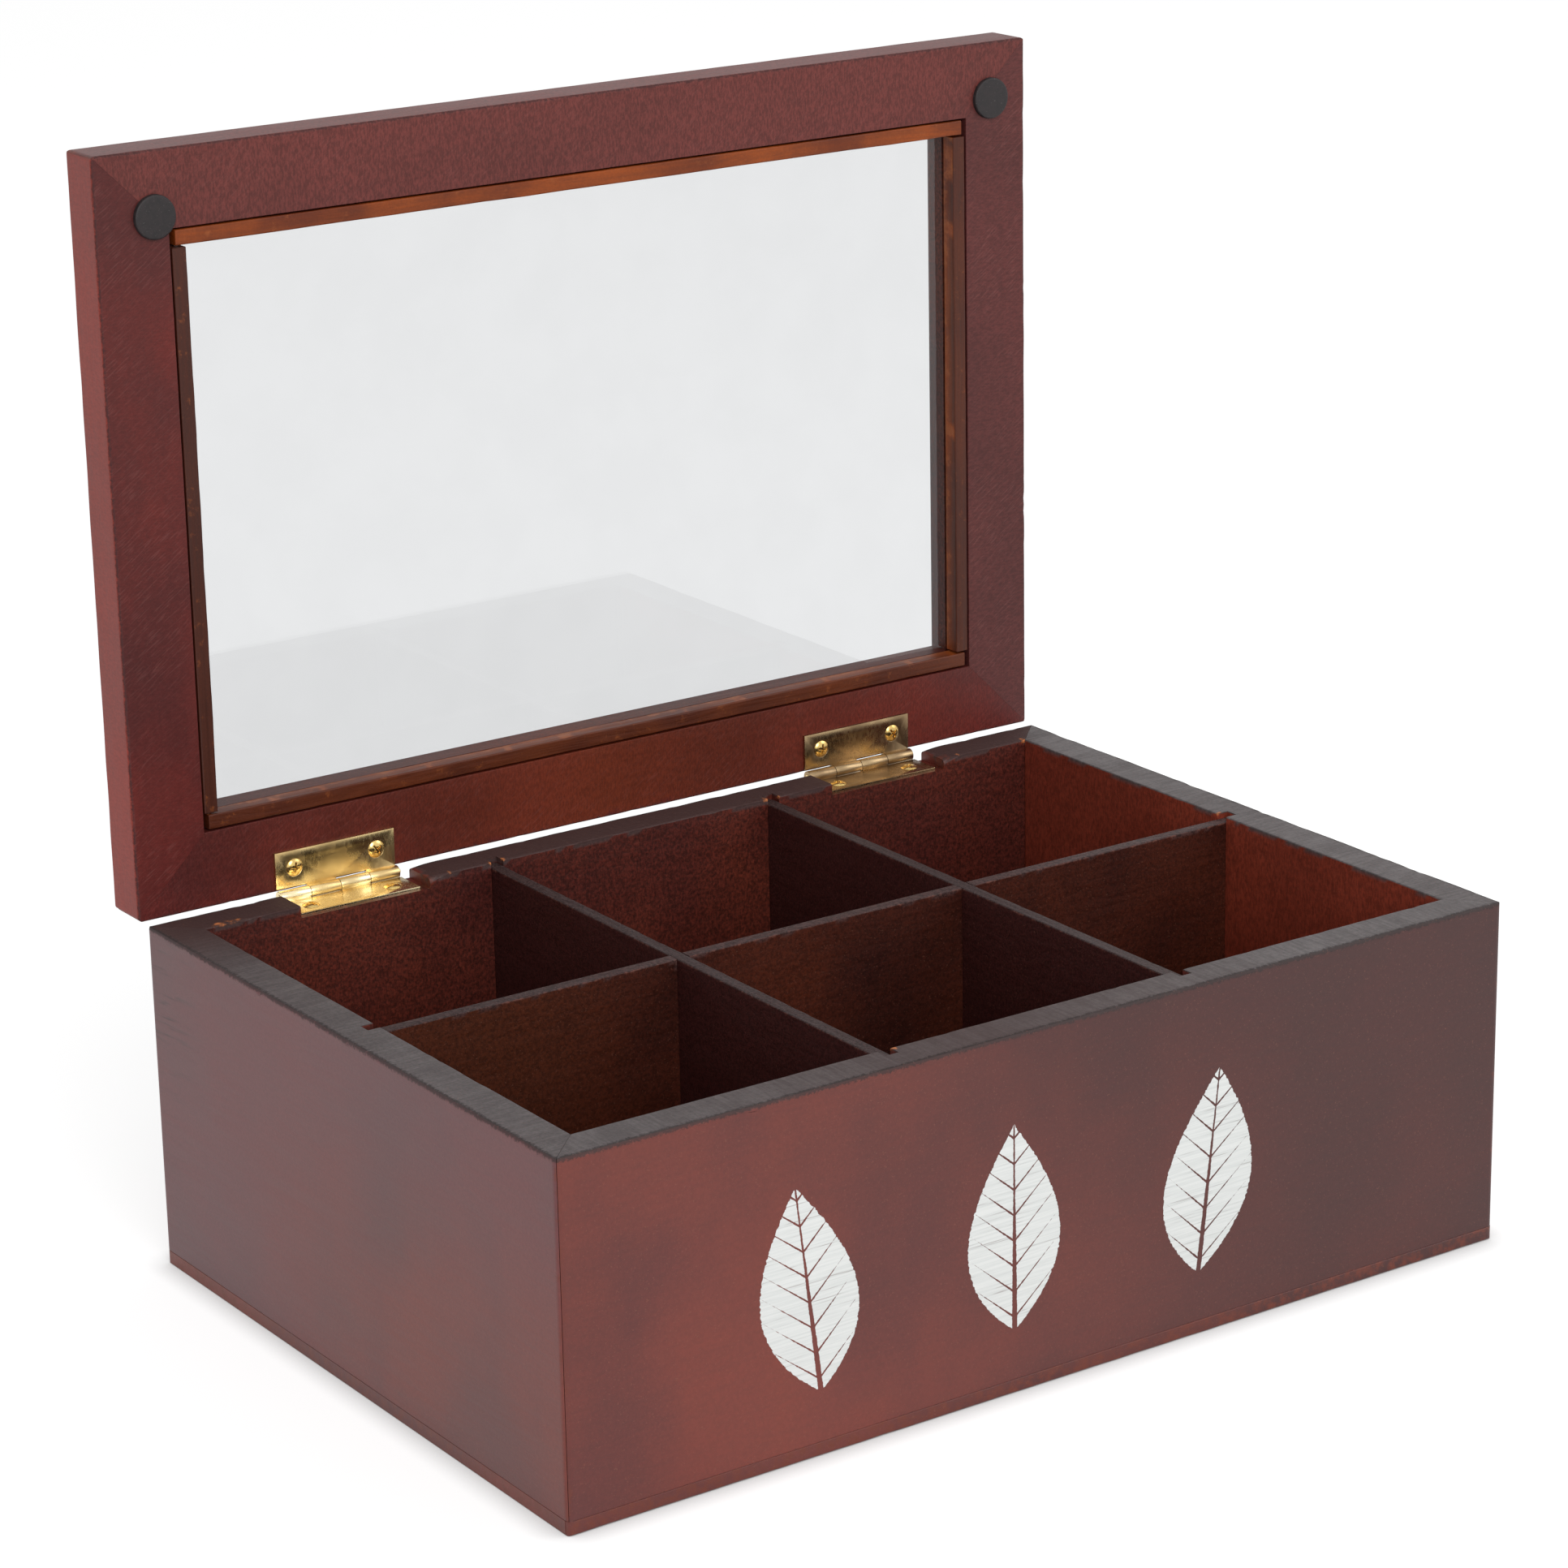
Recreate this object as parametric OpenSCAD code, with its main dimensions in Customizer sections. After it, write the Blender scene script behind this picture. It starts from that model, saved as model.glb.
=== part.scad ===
// Wooden tea bag box: six compartments under a glazed lid that stands open on two brass butt hinges.
// The front is -Y and +Z is up. The origin is the centre of the underside.

/* [Box] */
// Outside width of the box, left to right
box_w = 240; // [180:1:320]
// Outside depth of the box, front to back
box_d = 165.5; // [130:0.5:230]
// Height of the box, from its underside to the rim
box_h = 78.4; // [55:0.1:120]
// Thickness of the four walls
wall_t = 9.2; // [7:0.1:14]
// Thickness of the base panel under the walls
base_t = 3; // [2:0.1:8]
// Radius of the rounded outer edges of the box
box_arris = 1.2; // [0.4:0.1:2.5]

/* [Dividers] */
// Thickness of the dividers
divider_t = 3; // [2:0.1:5]
// How far the tops of the dividers lie below the rim
divider_drop = 1.3; // [0.5:0.1:10]
// Depth of the grooves in the walls that hold the dividers
groove_depth = 3; // [1.5:0.1:4]
// Gap between a divider and each side of its groove or slot
divider_gap = 0.1; // [0.05:0.05:0.3]

/* [Lid] */
// How far the lid oversails the box on each side
lid_overhang = 0.4; // [0:0.1:0.8]
// Thickness of the lid
lid_t = 11.7; // [9:0.1:18]
// Width of the lid frame, from its edge to the beads
rail_w = 17; // [14:0.5:30]
// Radius of the rounded outer edges of the lid
lid_arris = 1; // [0.4:0.1:2.5]
// Angle at which the lid stands open
lid_angle = 90; // [0:1:190]

/* [Glazing] */
// Thickness of the glass
glass_t = 2; // [1.5:0.1:3]
// Width of the glazing beads, and of the lip that the glass lies on
bead_w = 3.4; // [2.5:0.1:6]
// Thickness of the glazing beads
bead_t = 3.8; // [2.5:0.1:4.5]
// Gap between the frame and the edges of the glass and beads
bead_gap = 0.4; // [0.1:0.1:0.8]
// Gap at each end of the two long beads
bead_end_gap = 1.3; // [0.4:0.1:2]

/* [Bumpers] */
// Diameter of the rubber bumpers
bumper_d = 9.5; // [6:0.5:12]
// Thickness of the rubber bumpers
bumper_t = 1.2; // [0.8:0.1:2]
// How far the left bumper's centre lies inside the left wall and the front wall
bumper_left_in = [4, 4.4]; // [0:0.1:6]
// How far the right bumper's centre lies inside the right wall and the front wall
bumper_right_in = [0.6, 3.4]; // [0:0.1:6]

/* [Hinges] */
// Length of each hinge
hinge_l = 30; // [24:0.5:44]
// Distance from the left end of the box to the left hinge
hinge_left_inset = 33; // [15:0.5:60]
// Distance from the right end of the box to the right hinge
hinge_right_inset = 35.5; // [15:0.5:60]
// Width of a leaf, from the centre of the pin to its free edge
leaf_w = 10; // [8.4:0.1:12]
// Thickness of the leaves
leaf_t = 0.7; // [0.5:0.05:0.8]
// Outside diameter of the knuckles
knuckle_d = 3; // [2.8:0.1:4]
// Gap between two knuckles
knuckle_gap = 0.15; // [0.05:0.05:0.3]
// Diameter of the hinge pins
pin_d = 1.4; // [1:0.1:1.5]
// Running gap between a pin and its bore, all round
pin_gap = 0.04; // [0.02:0.01:0.08]
// How far the rounded right end of a pin stands out of its hinge
pin_end = 0.8; // [0.3:0.1:1.2]
// Gap between the rim and the underside of the shut lid, at the hinges
closing_gap = 0.3; // [0.2:0.05:0.6]
// Room in the rim beyond the left end of each hinge
gain_left = 0.4; // [0.1:0.1:2]
// Room in the rim beyond the right end of each hinge, where the pin stands out
gain_right = 2.2; // [1.6:0.1:4]

/* [Screws] */
// Diameter of the screw heads
head_d = 4; // [3:0.1:4.4]
// Height of the domed screw heads above the leaves
head_h = 0.6; // [0.3:0.05:0.65]
// Diameter of the screw shanks
shank_d = 1.8; // [1.2:0.1:2.2]
// Length of the screws in the wood
screw_l = 7; // [4:0.5:8]
// Distance from the centre of the pin to the screws
screw_from_pin = 6; // [5:0.1:7]
// Distance from the ends of a leaf to its screws
screw_from_end = 4.7; // [3:0.1:9]
// Gap round a screw in its holes
screw_gap = 0.05; // [0.02:0.01:0.1]

/* [Hidden] */
$fn = 64;

// What a cut runs past the face that it opens in
past = 1;

// The room inside the walls, and the places of the two short dividers
inner_w = box_w - 2 * wall_t;
inner_d = box_d - 2 * wall_t;
divider_x = (inner_w + divider_t) / 6;
divider_h = box_h - divider_drop - base_t;
slot_w = divider_t + 2 * divider_gap;

// The line of the hinge pins, and the floor of the cuts in the rim that the hinges lie in
pin_y = box_d / 2 + knuckle_d / 2;
pin_z = box_h + closing_gap - knuckle_d / 2;
gain_z = pin_z - knuckle_d / 2;
hinge_left_x = -box_w / 2 + hinge_left_inset;
hinge_right_x = box_w / 2 - hinge_right_inset - hinge_l;
knuckle_l = hinge_l / 4;
BOX_KNUCKLES = [0, 2];
LID_KNUCKLES = [1, 3];

// The lid as it lies shut: its outline, its underside, the opening for the glass and the window
lid_w = box_w + 2 * lid_overhang;
lid_d = box_d + 2 * lid_overhang;
lid_z = box_h + closing_gap;
rebate_w = lid_w - 2 * rail_w;
rebate_d = lid_d - 2 * rail_w;
glass_seat = bead_t + glass_t;
bead_inset = rail_w + bead_gap;

// Turns of the cross in each screw head
SCREW_TURNS = [12, 55];
cross_l = 2.4;
cross_w = 0.45;
cross_deep = 0.5;

STAIN = [0.30, 0.11, 0.09];
STAIN_DARK = [0.20, 0.09, 0.09];
BEAD_BROWN = [0.45, 0.20, 0.12];
BRASS = [0.78, 0.62, 0.30];
RUBBER = [0.20, 0.18, 0.20];
GLASS = [0.86, 0.90, 0.92, 0.35];

// ---------------------------------------------------------------- shared shapes

// A rectangle about the origin with rounded corners
module rounded_rect(w, d, r) {
    difference() {
        square([w, d], center = true);
        for (sx = [-1, 1], sy = [-1, 1])
            translate([sx * (w / 2 - r), sy * (d / 2 - r)])
                difference() {
                    translate([sx > 0 ? 0 : -r - past, sy > 0 ? 0 : -r - past]) square(r + past);
                    circle(r);
                }
    }
}

// Removes the sharp edge of a board that runs along X: the edge is at the origin, the board lies
// on the side that the two signs point to
module arris_cut(r, sy, sz) {
    rotate([90, 0, 90])
        linear_extrude(2 * (box_w + box_d), center = true)
            difference() {
                translate([sy > 0 ? -past : -r, sz > 0 ? -past : -r]) square(r + past);
                translate([sy * r, sz * r]) circle(r);
            }
}

// The outline in plan of one of four mitred boards: the one along the front edge of a w by d frame
module mitred_front(w, d, t) {
    polygon([[-w / 2, -d / 2], [w / 2, -d / 2], [w / 2 - t, -d / 2 + t], [-w / 2 + t, -d / 2 + t]]);
}

// A board along X whose outer face is the front of a w by d frame, with mitred ends
module mitred_board(w, d, t, h, r) {
    linear_extrude(h)
        intersection() {
            mitred_front(w, d, t);
            rounded_rect(w, d, r);
        }
}

// ---------------------------------------------------------------- box

// One wall as seen from its own front: w is its length, d the distance across the box
module wall(w, d, grooves) {
    difference() {
        translate([0, 0, base_t]) mitred_board(w, d, wall_t, box_h - base_t, box_arris);
        translate([0, -d / 2, box_h]) arris_cut(box_arris, 1, -1);
        for (x = grooves)
            translate([x - slot_w / 2, -d / 2 + wall_t - groove_depth, base_t - past])
                cube([slot_w, groove_depth + past, box_h + 2 * past]);
    }
}

module front_wall() {
    color(STAIN) wall(box_w, box_d, [-divider_x, divider_x]);
}

module rear_wall() {
    color(STAIN)
        difference() {
            rotate([0, 0, 180]) wall(box_w, box_d, [-divider_x, divider_x]);
            for (x = [hinge_left_x, hinge_right_x]) {
                translate([x - gain_left, box_d / 2 - wall_t - past, gain_z])
                    cube([hinge_l + gain_left + gain_right, wall_t + 2 * past, knuckle_d + past]);
                at_box_screws(x) screw_hole();
            }
        }
}

module left_wall() {
    color(STAIN) rotate([0, 0, -90]) wall(box_d, box_w, [0]);
}

module right_wall() {
    color(STAIN) rotate([0, 0, 90]) wall(box_d, box_w, [0]);
}

module base_panel() {
    color(STAIN_DARK) linear_extrude(base_t) rounded_rect(box_w, box_d, box_arris);
}

// A divider along X between the walls of a box that is span wide inside
module divider(span) {
    length = span + 2 * (groove_depth - divider_gap);
    translate([-length / 2, -divider_t / 2, base_t]) cube([length, divider_t, divider_h]);
}

// The long divider is slotted from above, and the short dividers from below
module long_divider() {
    color(STAIN_DARK)
        difference() {
            divider(inner_w);
            for (x = [-divider_x, divider_x])
                translate([x - slot_w / 2, -divider_t, base_t + divider_h / 2])
                    cube([slot_w, 2 * divider_t, divider_h]);
        }
}

module short_divider(x) {
    color(STAIN_DARK)
        translate([x, 0, 0])
            difference() {
                rotate([0, 0, 90]) divider(inner_d);
                translate([-divider_t, -slot_w / 2, base_t - past])
                    cube([2 * divider_t, slot_w, divider_h / 2 + past]);
            }
}

module short_divider_left() {
    short_divider(-divider_x);
}

module short_divider_right() {
    short_divider(divider_x);
}

// ---------------------------------------------------------------- lid

// Turns what is drawn as part of the shut lid to the open lid
module opened() {
    translate([0, pin_y, pin_z])
        rotate([-lid_angle, 0, 0])
            translate([0, -pin_y, -pin_z])
                children();
}

// One rail of the lid frame, along the front edge of a w by d lid. The beads and the glass lie in its
// rebate, and its lip is on top.
module rail(w, d) {
    lip_z = lid_z + glass_seat;
    difference() {
        union() {
            translate([0, 0, lid_z]) mitred_board(w, d, rail_w, lid_t, lid_arris);
            translate([0, 0, lip_z]) mitred_board(w, d, rail_w + bead_w, lid_t - glass_seat, lid_arris);
        }
        translate([0, -d / 2, lid_z]) arris_cut(lid_arris, 1, 1);
        translate([0, -d / 2, lid_z + lid_t]) arris_cut(lid_arris, 1, -1);
    }
}

module lid_front_rail() {
    color(STAIN) opened() rail(lid_w, lid_d);
}

module lid_rear_rail() {
    color(STAIN)
        opened()
            difference() {
                rotate([0, 0, 180]) rail(lid_w, lid_d);
                for (x = [hinge_left_x, hinge_right_x]) at_lid_screws(x) screw_hole();
            }
}

module lid_left_rail() {
    color(STAIN) opened() rotate([0, 0, -90]) rail(lid_d, lid_w);
}

module lid_right_rail() {
    color(STAIN) opened() rotate([0, 0, 90]) rail(lid_d, lid_w);
}

module glass_pane() {
    color(GLASS)
        opened()
            translate([0, 0, lid_z + bead_t])
                linear_extrude(glass_t)
                    square([rebate_w - 2 * bead_gap, rebate_d - 2 * bead_gap], center = true);
}

// The two long beads run almost the whole width, and the two side beads fit between them
module long_bead(side) {
    length = rebate_w - 2 * bead_end_gap;
    color(BEAD_BROWN)
        opened()
            translate([-length / 2, side * (lid_d / 2 - bead_inset - bead_w / 2) - bead_w / 2, lid_z])
                cube([length, bead_w, bead_t]);
}

module side_bead(side) {
    length = rebate_d - 2 * (bead_w + 2 * bead_gap);
    color(BEAD_BROWN)
        opened()
            translate([side * (lid_w / 2 - bead_inset - bead_w / 2) - bead_w / 2, -length / 2, lid_z])
                cube([bead_w, length, bead_t]);
}

module bead_front() {
    long_bead(-1);
}

module bead_rear() {
    long_bead(1);
}

module bead_left() {
    side_bead(-1);
}

module bead_right() {
    side_bead(1);
}

// A flat-topped rubber disc on the underside of the lid, near one of its front corners
module bumper(side, inside) {
    chamfer = bumper_t / 3;
    color(RUBBER)
        opened()
            translate([side * (box_w / 2 - wall_t - inside[0]), -box_d / 2 + wall_t + inside[1], lid_z])
                mirror([0, 0, 1]) {
                    cylinder(h = bumper_t - chamfer, d = bumper_d);
                    translate([0, 0, bumper_t - chamfer])
                        cylinder(h = chamfer, d1 = bumper_d, d2 = bumper_d - 2 * chamfer);
                }
}

module bumper_left() {
    bumper(-1, bumper_left_in);
}

module bumper_right() {
    bumper(1, bumper_right_in);
}

// ---------------------------------------------------------------- hinges

// A leaf with its pin along X from the origin, its plate on the side of -Y and flush with the bottom of
// its knuckles. The plate is cut back beside the knuckles of the other leaf.
module leaf(knuckles) {
    rolled = knuckle_d / 2 - 0.2;
    cut_back = knuckle_d / 2 + knuckle_gap;
    difference() {
        union() {
            translate([0, -leaf_w, -knuckle_d / 2]) cube([hinge_l, leaf_w - cut_back, leaf_t]);
            for (i = knuckles)
                translate([i * knuckle_l + knuckle_gap / 2, 0, 0]) {
                    rotate([0, 90, 0]) cylinder(h = knuckle_l - knuckle_gap, d = knuckle_d);
                    translate([0, -leaf_w / 2, -knuckle_d / 2])
                        cube([knuckle_l - knuckle_gap, leaf_w / 2 - knuckle_d / 2 + rolled, leaf_t]);
                }
        }
        translate([-past, 0, 0])
            rotate([0, 90, 0])
                cylinder(h = hinge_l + 2 * past, d = pin_d + 2 * pin_gap);
        for (x = [screw_from_end, hinge_l - screw_from_end])
            translate([x, -screw_from_pin, -knuckle_d / 2 + leaf_t]) countersink();
    }
}

module box_leaf(x) {
    color(BRASS) translate([x, pin_y, pin_z]) leaf(BOX_KNUCKLES);
}

module lid_leaf(x) {
    color(BRASS) opened() translate([x, pin_y, pin_z]) mirror([0, 0, 1]) leaf(LID_KNUCKLES);
}

// The pin is flush on the left and ends in a dome on the right
module pin(x) {
    dome = pin_d / 2;
    color(BRASS)
        translate([x, pin_y, pin_z])
            rotate([0, 90, 0]) {
                cylinder(h = hinge_l + pin_end - dome, d = pin_d);
                translate([0, 0, hinge_l + pin_end - dome]) sphere(d = pin_d);
            }
}

module hinge_left_box_leaf() {
    box_leaf(hinge_left_x);
}

module hinge_left_lid_leaf() {
    lid_leaf(hinge_left_x);
}

module hinge_left_pin() {
    pin(hinge_left_x);
}

module hinge_right_box_leaf() {
    box_leaf(hinge_right_x);
}

module hinge_right_lid_leaf() {
    lid_leaf(hinge_right_x);
}

module hinge_right_pin() {
    pin(hinge_right_x);
}

// ---------------------------------------------------------------- screws

// The two places of the screws of one box leaf, at the top face of the leaf
module at_box_screws(x) {
    for (i = [0, 1])
        translate([x + (i == 0 ? screw_from_end : hinge_l - screw_from_end), pin_y - screw_from_pin,
                   gain_z + leaf_t])
            rotate([0, 0, SCREW_TURNS[i]])
                children();
}

// The two places of the screws of one lid leaf, as the lid lies shut
module at_lid_screws(x) {
    for (i = [0, 1])
        translate([x + (i == 0 ? screw_from_end : hinge_l - screw_from_end), pin_y - screw_from_pin,
                   lid_z - leaf_t])
            rotate([0, 180, SCREW_TURNS[i]])
                children();
}

// The hole of a screw in a leaf, from the top face of the leaf
module countersink() {
    translate([0, 0, -leaf_t])
        cylinder(h = leaf_t, d1 = shank_d + 2 * screw_gap, d2 = head_d + 2 * screw_gap);
    translate([0, 0, -leaf_t - past]) cylinder(h = 2 * past, d = shank_d + 2 * screw_gap);
}

// The hole of a screw in the wood, from the top face of the leaf
module screw_hole() {
    translate([0, 0, -leaf_t - screw_l - screw_gap])
        cylinder(h = screw_l + leaf_t + past, d = shank_d + 2 * screw_gap);
}

// A screw with a domed, countersunk head and a cross recess
module screw() {
    dome_r = (pow(head_d / 2, 2) + pow(head_h, 2)) / (2 * head_h);
    difference() {
        union() {
            translate([0, 0, -leaf_t - screw_l]) cylinder(h = screw_l + leaf_t / 2, d = shank_d);
            translate([0, 0, -leaf_t]) cylinder(h = leaf_t, d1 = shank_d, d2 = head_d);
            intersection() {
                translate([0, 0, head_h - dome_r]) sphere(r = dome_r);
                cylinder(h = head_h + past, d = head_d);
            }
        }
        for (turn = [0, 90])
            rotate([0, 0, turn])
                translate([-cross_l / 2, -cross_w / 2, head_h - cross_deep])
                    cube([cross_l, cross_w, cross_deep + past]);
    }
}

module box_hinge_screws() {
    color(BRASS) for (x = [hinge_left_x, hinge_right_x]) at_box_screws(x) screw();
}

module lid_hinge_screws() {
    color(BRASS) opened() for (x = [hinge_left_x, hinge_right_x]) at_lid_screws(x) screw();
}

front_wall();
rear_wall();
left_wall();
right_wall();
base_panel();
long_divider();
short_divider_left();
short_divider_right();
lid_front_rail();
lid_rear_rail();
lid_left_rail();
lid_right_rail();
glass_pane();
bead_front();
bead_rear();
bead_left();
bead_right();
bumper_left();
bumper_right();
hinge_left_box_leaf();
hinge_left_lid_leaf();
hinge_left_pin();
hinge_right_box_leaf();
hinge_right_lid_leaf();
hinge_right_pin();
box_hinge_screws();
lid_hinge_screws();
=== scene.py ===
"""Looks of a stained wooden tea bag box with a glazed lid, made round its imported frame.

Everything is in metres, with +Z up and the front at -Y. Boards are lofted from rounded cross-sections,
so their arrises, mitres, grooves and hinge cuts are real shapes.
"""

import math
import random

import bmesh
import bpy
from mathutils import Matrix, Vector, noise


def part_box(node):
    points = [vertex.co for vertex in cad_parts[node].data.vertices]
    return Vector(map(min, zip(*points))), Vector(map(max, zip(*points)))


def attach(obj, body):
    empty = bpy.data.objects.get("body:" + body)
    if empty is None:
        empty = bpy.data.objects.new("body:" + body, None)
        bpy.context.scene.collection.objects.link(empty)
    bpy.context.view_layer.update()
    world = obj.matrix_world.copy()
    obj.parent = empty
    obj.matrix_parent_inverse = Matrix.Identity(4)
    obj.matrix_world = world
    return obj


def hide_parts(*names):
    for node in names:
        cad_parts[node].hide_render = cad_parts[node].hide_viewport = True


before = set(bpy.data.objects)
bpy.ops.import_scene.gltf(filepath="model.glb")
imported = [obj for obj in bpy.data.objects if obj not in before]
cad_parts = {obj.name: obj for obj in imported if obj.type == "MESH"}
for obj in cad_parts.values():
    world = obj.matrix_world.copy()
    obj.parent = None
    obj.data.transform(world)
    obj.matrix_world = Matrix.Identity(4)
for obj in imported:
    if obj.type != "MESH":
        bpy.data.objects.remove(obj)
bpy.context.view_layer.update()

MM = 0.001

# The camera's place, the point that it looks at, its roll and its lens
CAMERA_PLACE = Vector((-0.5441, -0.7805, 0.4128))
CAMERA_AIM = Vector((-0.0067, 0.0046, 0.1079))
CAMERA_ROLL = -1.08
CAMERA_LENS = 107.6

# Seam between the box and its base, and the chamfer along each mitre
SEAM = 0.15 * MM
MITRE_CHAMFER = 0.08 * MM
# Distance between two cross-sections of a board
SECTION_STEP = 1.6 * MM
# Room beyond the two ends of each hinge in the rim
GAIN_LEFT = 0.4 * MM
GAIN_RIGHT = 2.2 * MM
# Length of the broken arris beside each of those cuts
GAIN_SLOPE = 6.0 * MM
HINGE_LENGTH = 30 * MM
# Small roundings of the metal edges
LEAF_EDGE = 0.08 * MM
SCREW_EDGE = 0.04 * MM
# How near the floor's contact shadow reaches from the box
CONTACT_REACH = 6.5 * MM
# The floor's half width, and its brightness where it is seen: what it scatters and what it adds
FLOOR_REACH = 4.0
FLOOR_GREY = 0.48
FLOOR_GLOW = 0.7
# The white surroundings' strength as light on surfaces
SOFT_LIGHT = 0.55


# ---------------------------------------------------------------- shader helpers

def seen(red, green, blue):
    """A colour given as it is seen on a screen, 0 to 255, as Blender's linear colour."""
    def linear(value):
        value = value / 255
        return value / 12.92 if value <= 0.04045 else ((value + 0.055) / 1.055) ** 2.4
    return (linear(red), linear(green), linear(blue), 1.0)


def add(tree, kind, inputs=None, **settings):
    """A new node. A socket given as an input is linked, and any other value is set."""
    made = tree.nodes.new(kind)
    for name, value in settings.items():
        setattr(made, name, value)
    for name, value in (inputs or {}).items():
        if isinstance(value, bpy.types.NodeSocket):
            tree.links.new(value, made.inputs[name])
        else:
            made.inputs[name].default_value = value
    return made


def maths(tree, operation, *values, clamp=False):
    inputs = dict(enumerate(values))
    return add(tree, "ShaderNodeMath", inputs, operation=operation, use_clamp=clamp).outputs[0]


def times(tree, first, second):
    return maths(tree, "MULTIPLY", first, second)


def plus(tree, first, second, clamp=False):
    return maths(tree, "ADD", first, second, clamp=clamp)


def minus(tree, first, second):
    return maths(tree, "SUBTRACT", first, second)


def feed(tree, node, **results):
    """Links sockets to a node's inputs. Underscores in the names stand for spaces."""
    for name, socket in results.items():
        tree.links.new(socket, node.inputs[name.replace("_", " ")])


def blend(tree, share, first, second, mode="MIX"):
    """One colour at share 0 and the other at share 1, or their product if the mode is MULTIPLY."""
    inputs = {0: share, 6: first, 7: second}
    return add(tree, "ShaderNodeMix", inputs, data_type="RGBA", blend_type=mode).outputs[2]


def between(tree, value, low, high, to_low=0.0, to_high=1.0):
    """Maps low..high smoothly to to_low..to_high."""
    inputs = {"Value": value, "From Min": low, "From Max": high, "To Min": to_low, "To Max": to_high}
    return add(tree, "ShaderNodeMapRange", inputs, interpolation_type="SMOOTHSTEP").outputs[0]


def stretched(tree, place, along, across, up):
    """The place scaled by three factors, for patterns that are longer one way."""
    inputs = {0: place, 1: (along, across, up)}
    return add(tree, "ShaderNodeVectorMath", inputs, operation="MULTIPLY").outputs[0]


def scaled(tree, place, factor):
    return add(tree, "ShaderNodeVectorMath", {0: place, "Scale": factor}, operation="SCALE").outputs[0]


def noise_value(tree, place, scale=1.0, detail=3.0, roughness=0.55):
    inputs = {"Vector": place, "Scale": scale, "Detail": detail, "Roughness": roughness}
    return add(tree, "ShaderNodeTexNoise", inputs).outputs["Fac"]


def new_group(name, amounts, outputs):
    """A shader node group that takes a place and amounts: (tree, its inputs by name, its output node)."""
    tree = bpy.data.node_groups.new(name, "ShaderNodeTree")
    tree.interface.new_socket("Place", in_out="INPUT", socket_type="NodeSocketVector")
    for socket_name, value in amounts.items():
        socket = tree.interface.new_socket(socket_name, in_out="INPUT", socket_type="NodeSocketFloat")
        socket.default_value = value
    for socket_name in outputs:
        tree.interface.new_socket(socket_name, in_out="OUTPUT", socket_type="NodeSocketFloat")
    return tree, tree.nodes.new("NodeGroupInput").outputs, tree.nodes.new("NodeGroupOutput")


def use_group(tree, group, **inputs):
    """The group placed in a material. Underscores in the input names stand for spaces."""
    named = {name.replace("_", " "): value for name, value in inputs.items()}
    return add(tree, "ShaderNodeGroup", named, node_tree=group).outputs


# ---------------------------------------------------------------- shared effects

def grain_group():
    """Fibres along the board, dark pores between them, sandy speckle, and short fuzz across the board."""
    tree, given, out = new_group("wood_grain", {"Fineness": 1.0}, ["Fibre", "Pores", "Sand", "Fuzz"])
    place = scaled(tree, given["Place"], given["Fineness"])
    bend = noise_value(tree, stretched(tree, place, 12, 40, 40), detail=1.0)
    bent = add(tree, "ShaderNodeVectorMath", {0: stretched(tree, place, 28, 900, 900)}, operation="ADD")
    tree.links.new(times(tree, bend, 9.0), bent.inputs[1])
    fibre = noise_value(tree, bent.outputs[0], detail=4.0, roughness=0.62)
    pore = noise_value(tree, stretched(tree, place, 260, 3200, 3200), detail=2.0, roughness=0.5)
    sand = noise_value(tree, place, scale=1400.0, detail=3.0, roughness=0.65)
    fuzz = noise_value(tree, stretched(tree, place, 2400, 800, 800), detail=2.0, roughness=0.55)
    feed(tree, out, Fibre=between(tree, fibre, 0.25, 0.75, -1.0, 1.0), Pores=between(tree, pore, 0.60, 0.70),
         Sand=between(tree, sand, 0.33, 0.67, -1.0, 1.0), Fuzz=between(tree, fuzz, 0.33, 0.67, -1.0, 1.0))
    return tree


def cloud_group():
    """Soft patches and upright bands where the wood took more or less stain."""
    tree, given, out = new_group("stain_clouds", {"Size": 1.0}, ["Clouds", "Bands"])
    place = scaled(tree, given["Place"], maths(tree, "DIVIDE", 1.0, given["Size"]))
    clouds = noise_value(tree, stretched(tree, place, 22, 30, 18), detail=3.0, roughness=0.5)
    bands = noise_value(tree, stretched(tree, place, 75, 60, 9), detail=2.0, roughness=0.45)
    feed(tree, out, Clouds=between(tree, clouds, 0.30, 0.70), Bands=between(tree, bands, 0.32, 0.68))
    return tree


def sanding_group():
    """Fine scratches at an angle across an upright face, as sandpaper leaves them under the stain."""
    tree, given, out = new_group("sanding_scratches", {"Angle": 0.0, "Fineness": 1.0}, ["Scratches"])
    turn = {"Vector": given["Place"], "Angle": given["Angle"]}
    turned = add(tree, "ShaderNodeVectorRotate", turn, rotation_type="Y_AXIS").outputs[0]
    fine = scaled(tree, turned, given["Fineness"])
    lines = noise_value(tree, stretched(tree, fine, 260, 2600, 2600), detail=1.0)
    patches = noise_value(tree, given["Place"], scale=60.0, detail=1.0)
    found = between(tree, lines, 0.50, 0.72)
    feed(tree, out, Scratches=times(tree, found, between(tree, patches, 0.35, 0.65, 0.35, 1.0)))
    return tree


def saw_group():
    """Marks of the saw across an edge, in loose packs of fine lines."""
    tree, given, out = new_group("saw_marks", {"Amount": 0.5}, ["Marks"])
    lines = noise_value(tree, stretched(tree, given["Place"], 1300, 130, 130), detail=3.0, roughness=0.6)
    packs = noise_value(tree, stretched(tree, given["Place"], 150, 60, 60), detail=2.0)
    both = plus(tree, times(tree, lines, 0.62), times(tree, packs, 0.38))
    spread = times(tree, between(tree, both, 0.36, 0.66, -0.5, 0.5), given["Amount"])
    feed(tree, out, Marks=plus(tree, spread, 0.5, clamp=True))
    return tree


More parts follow.
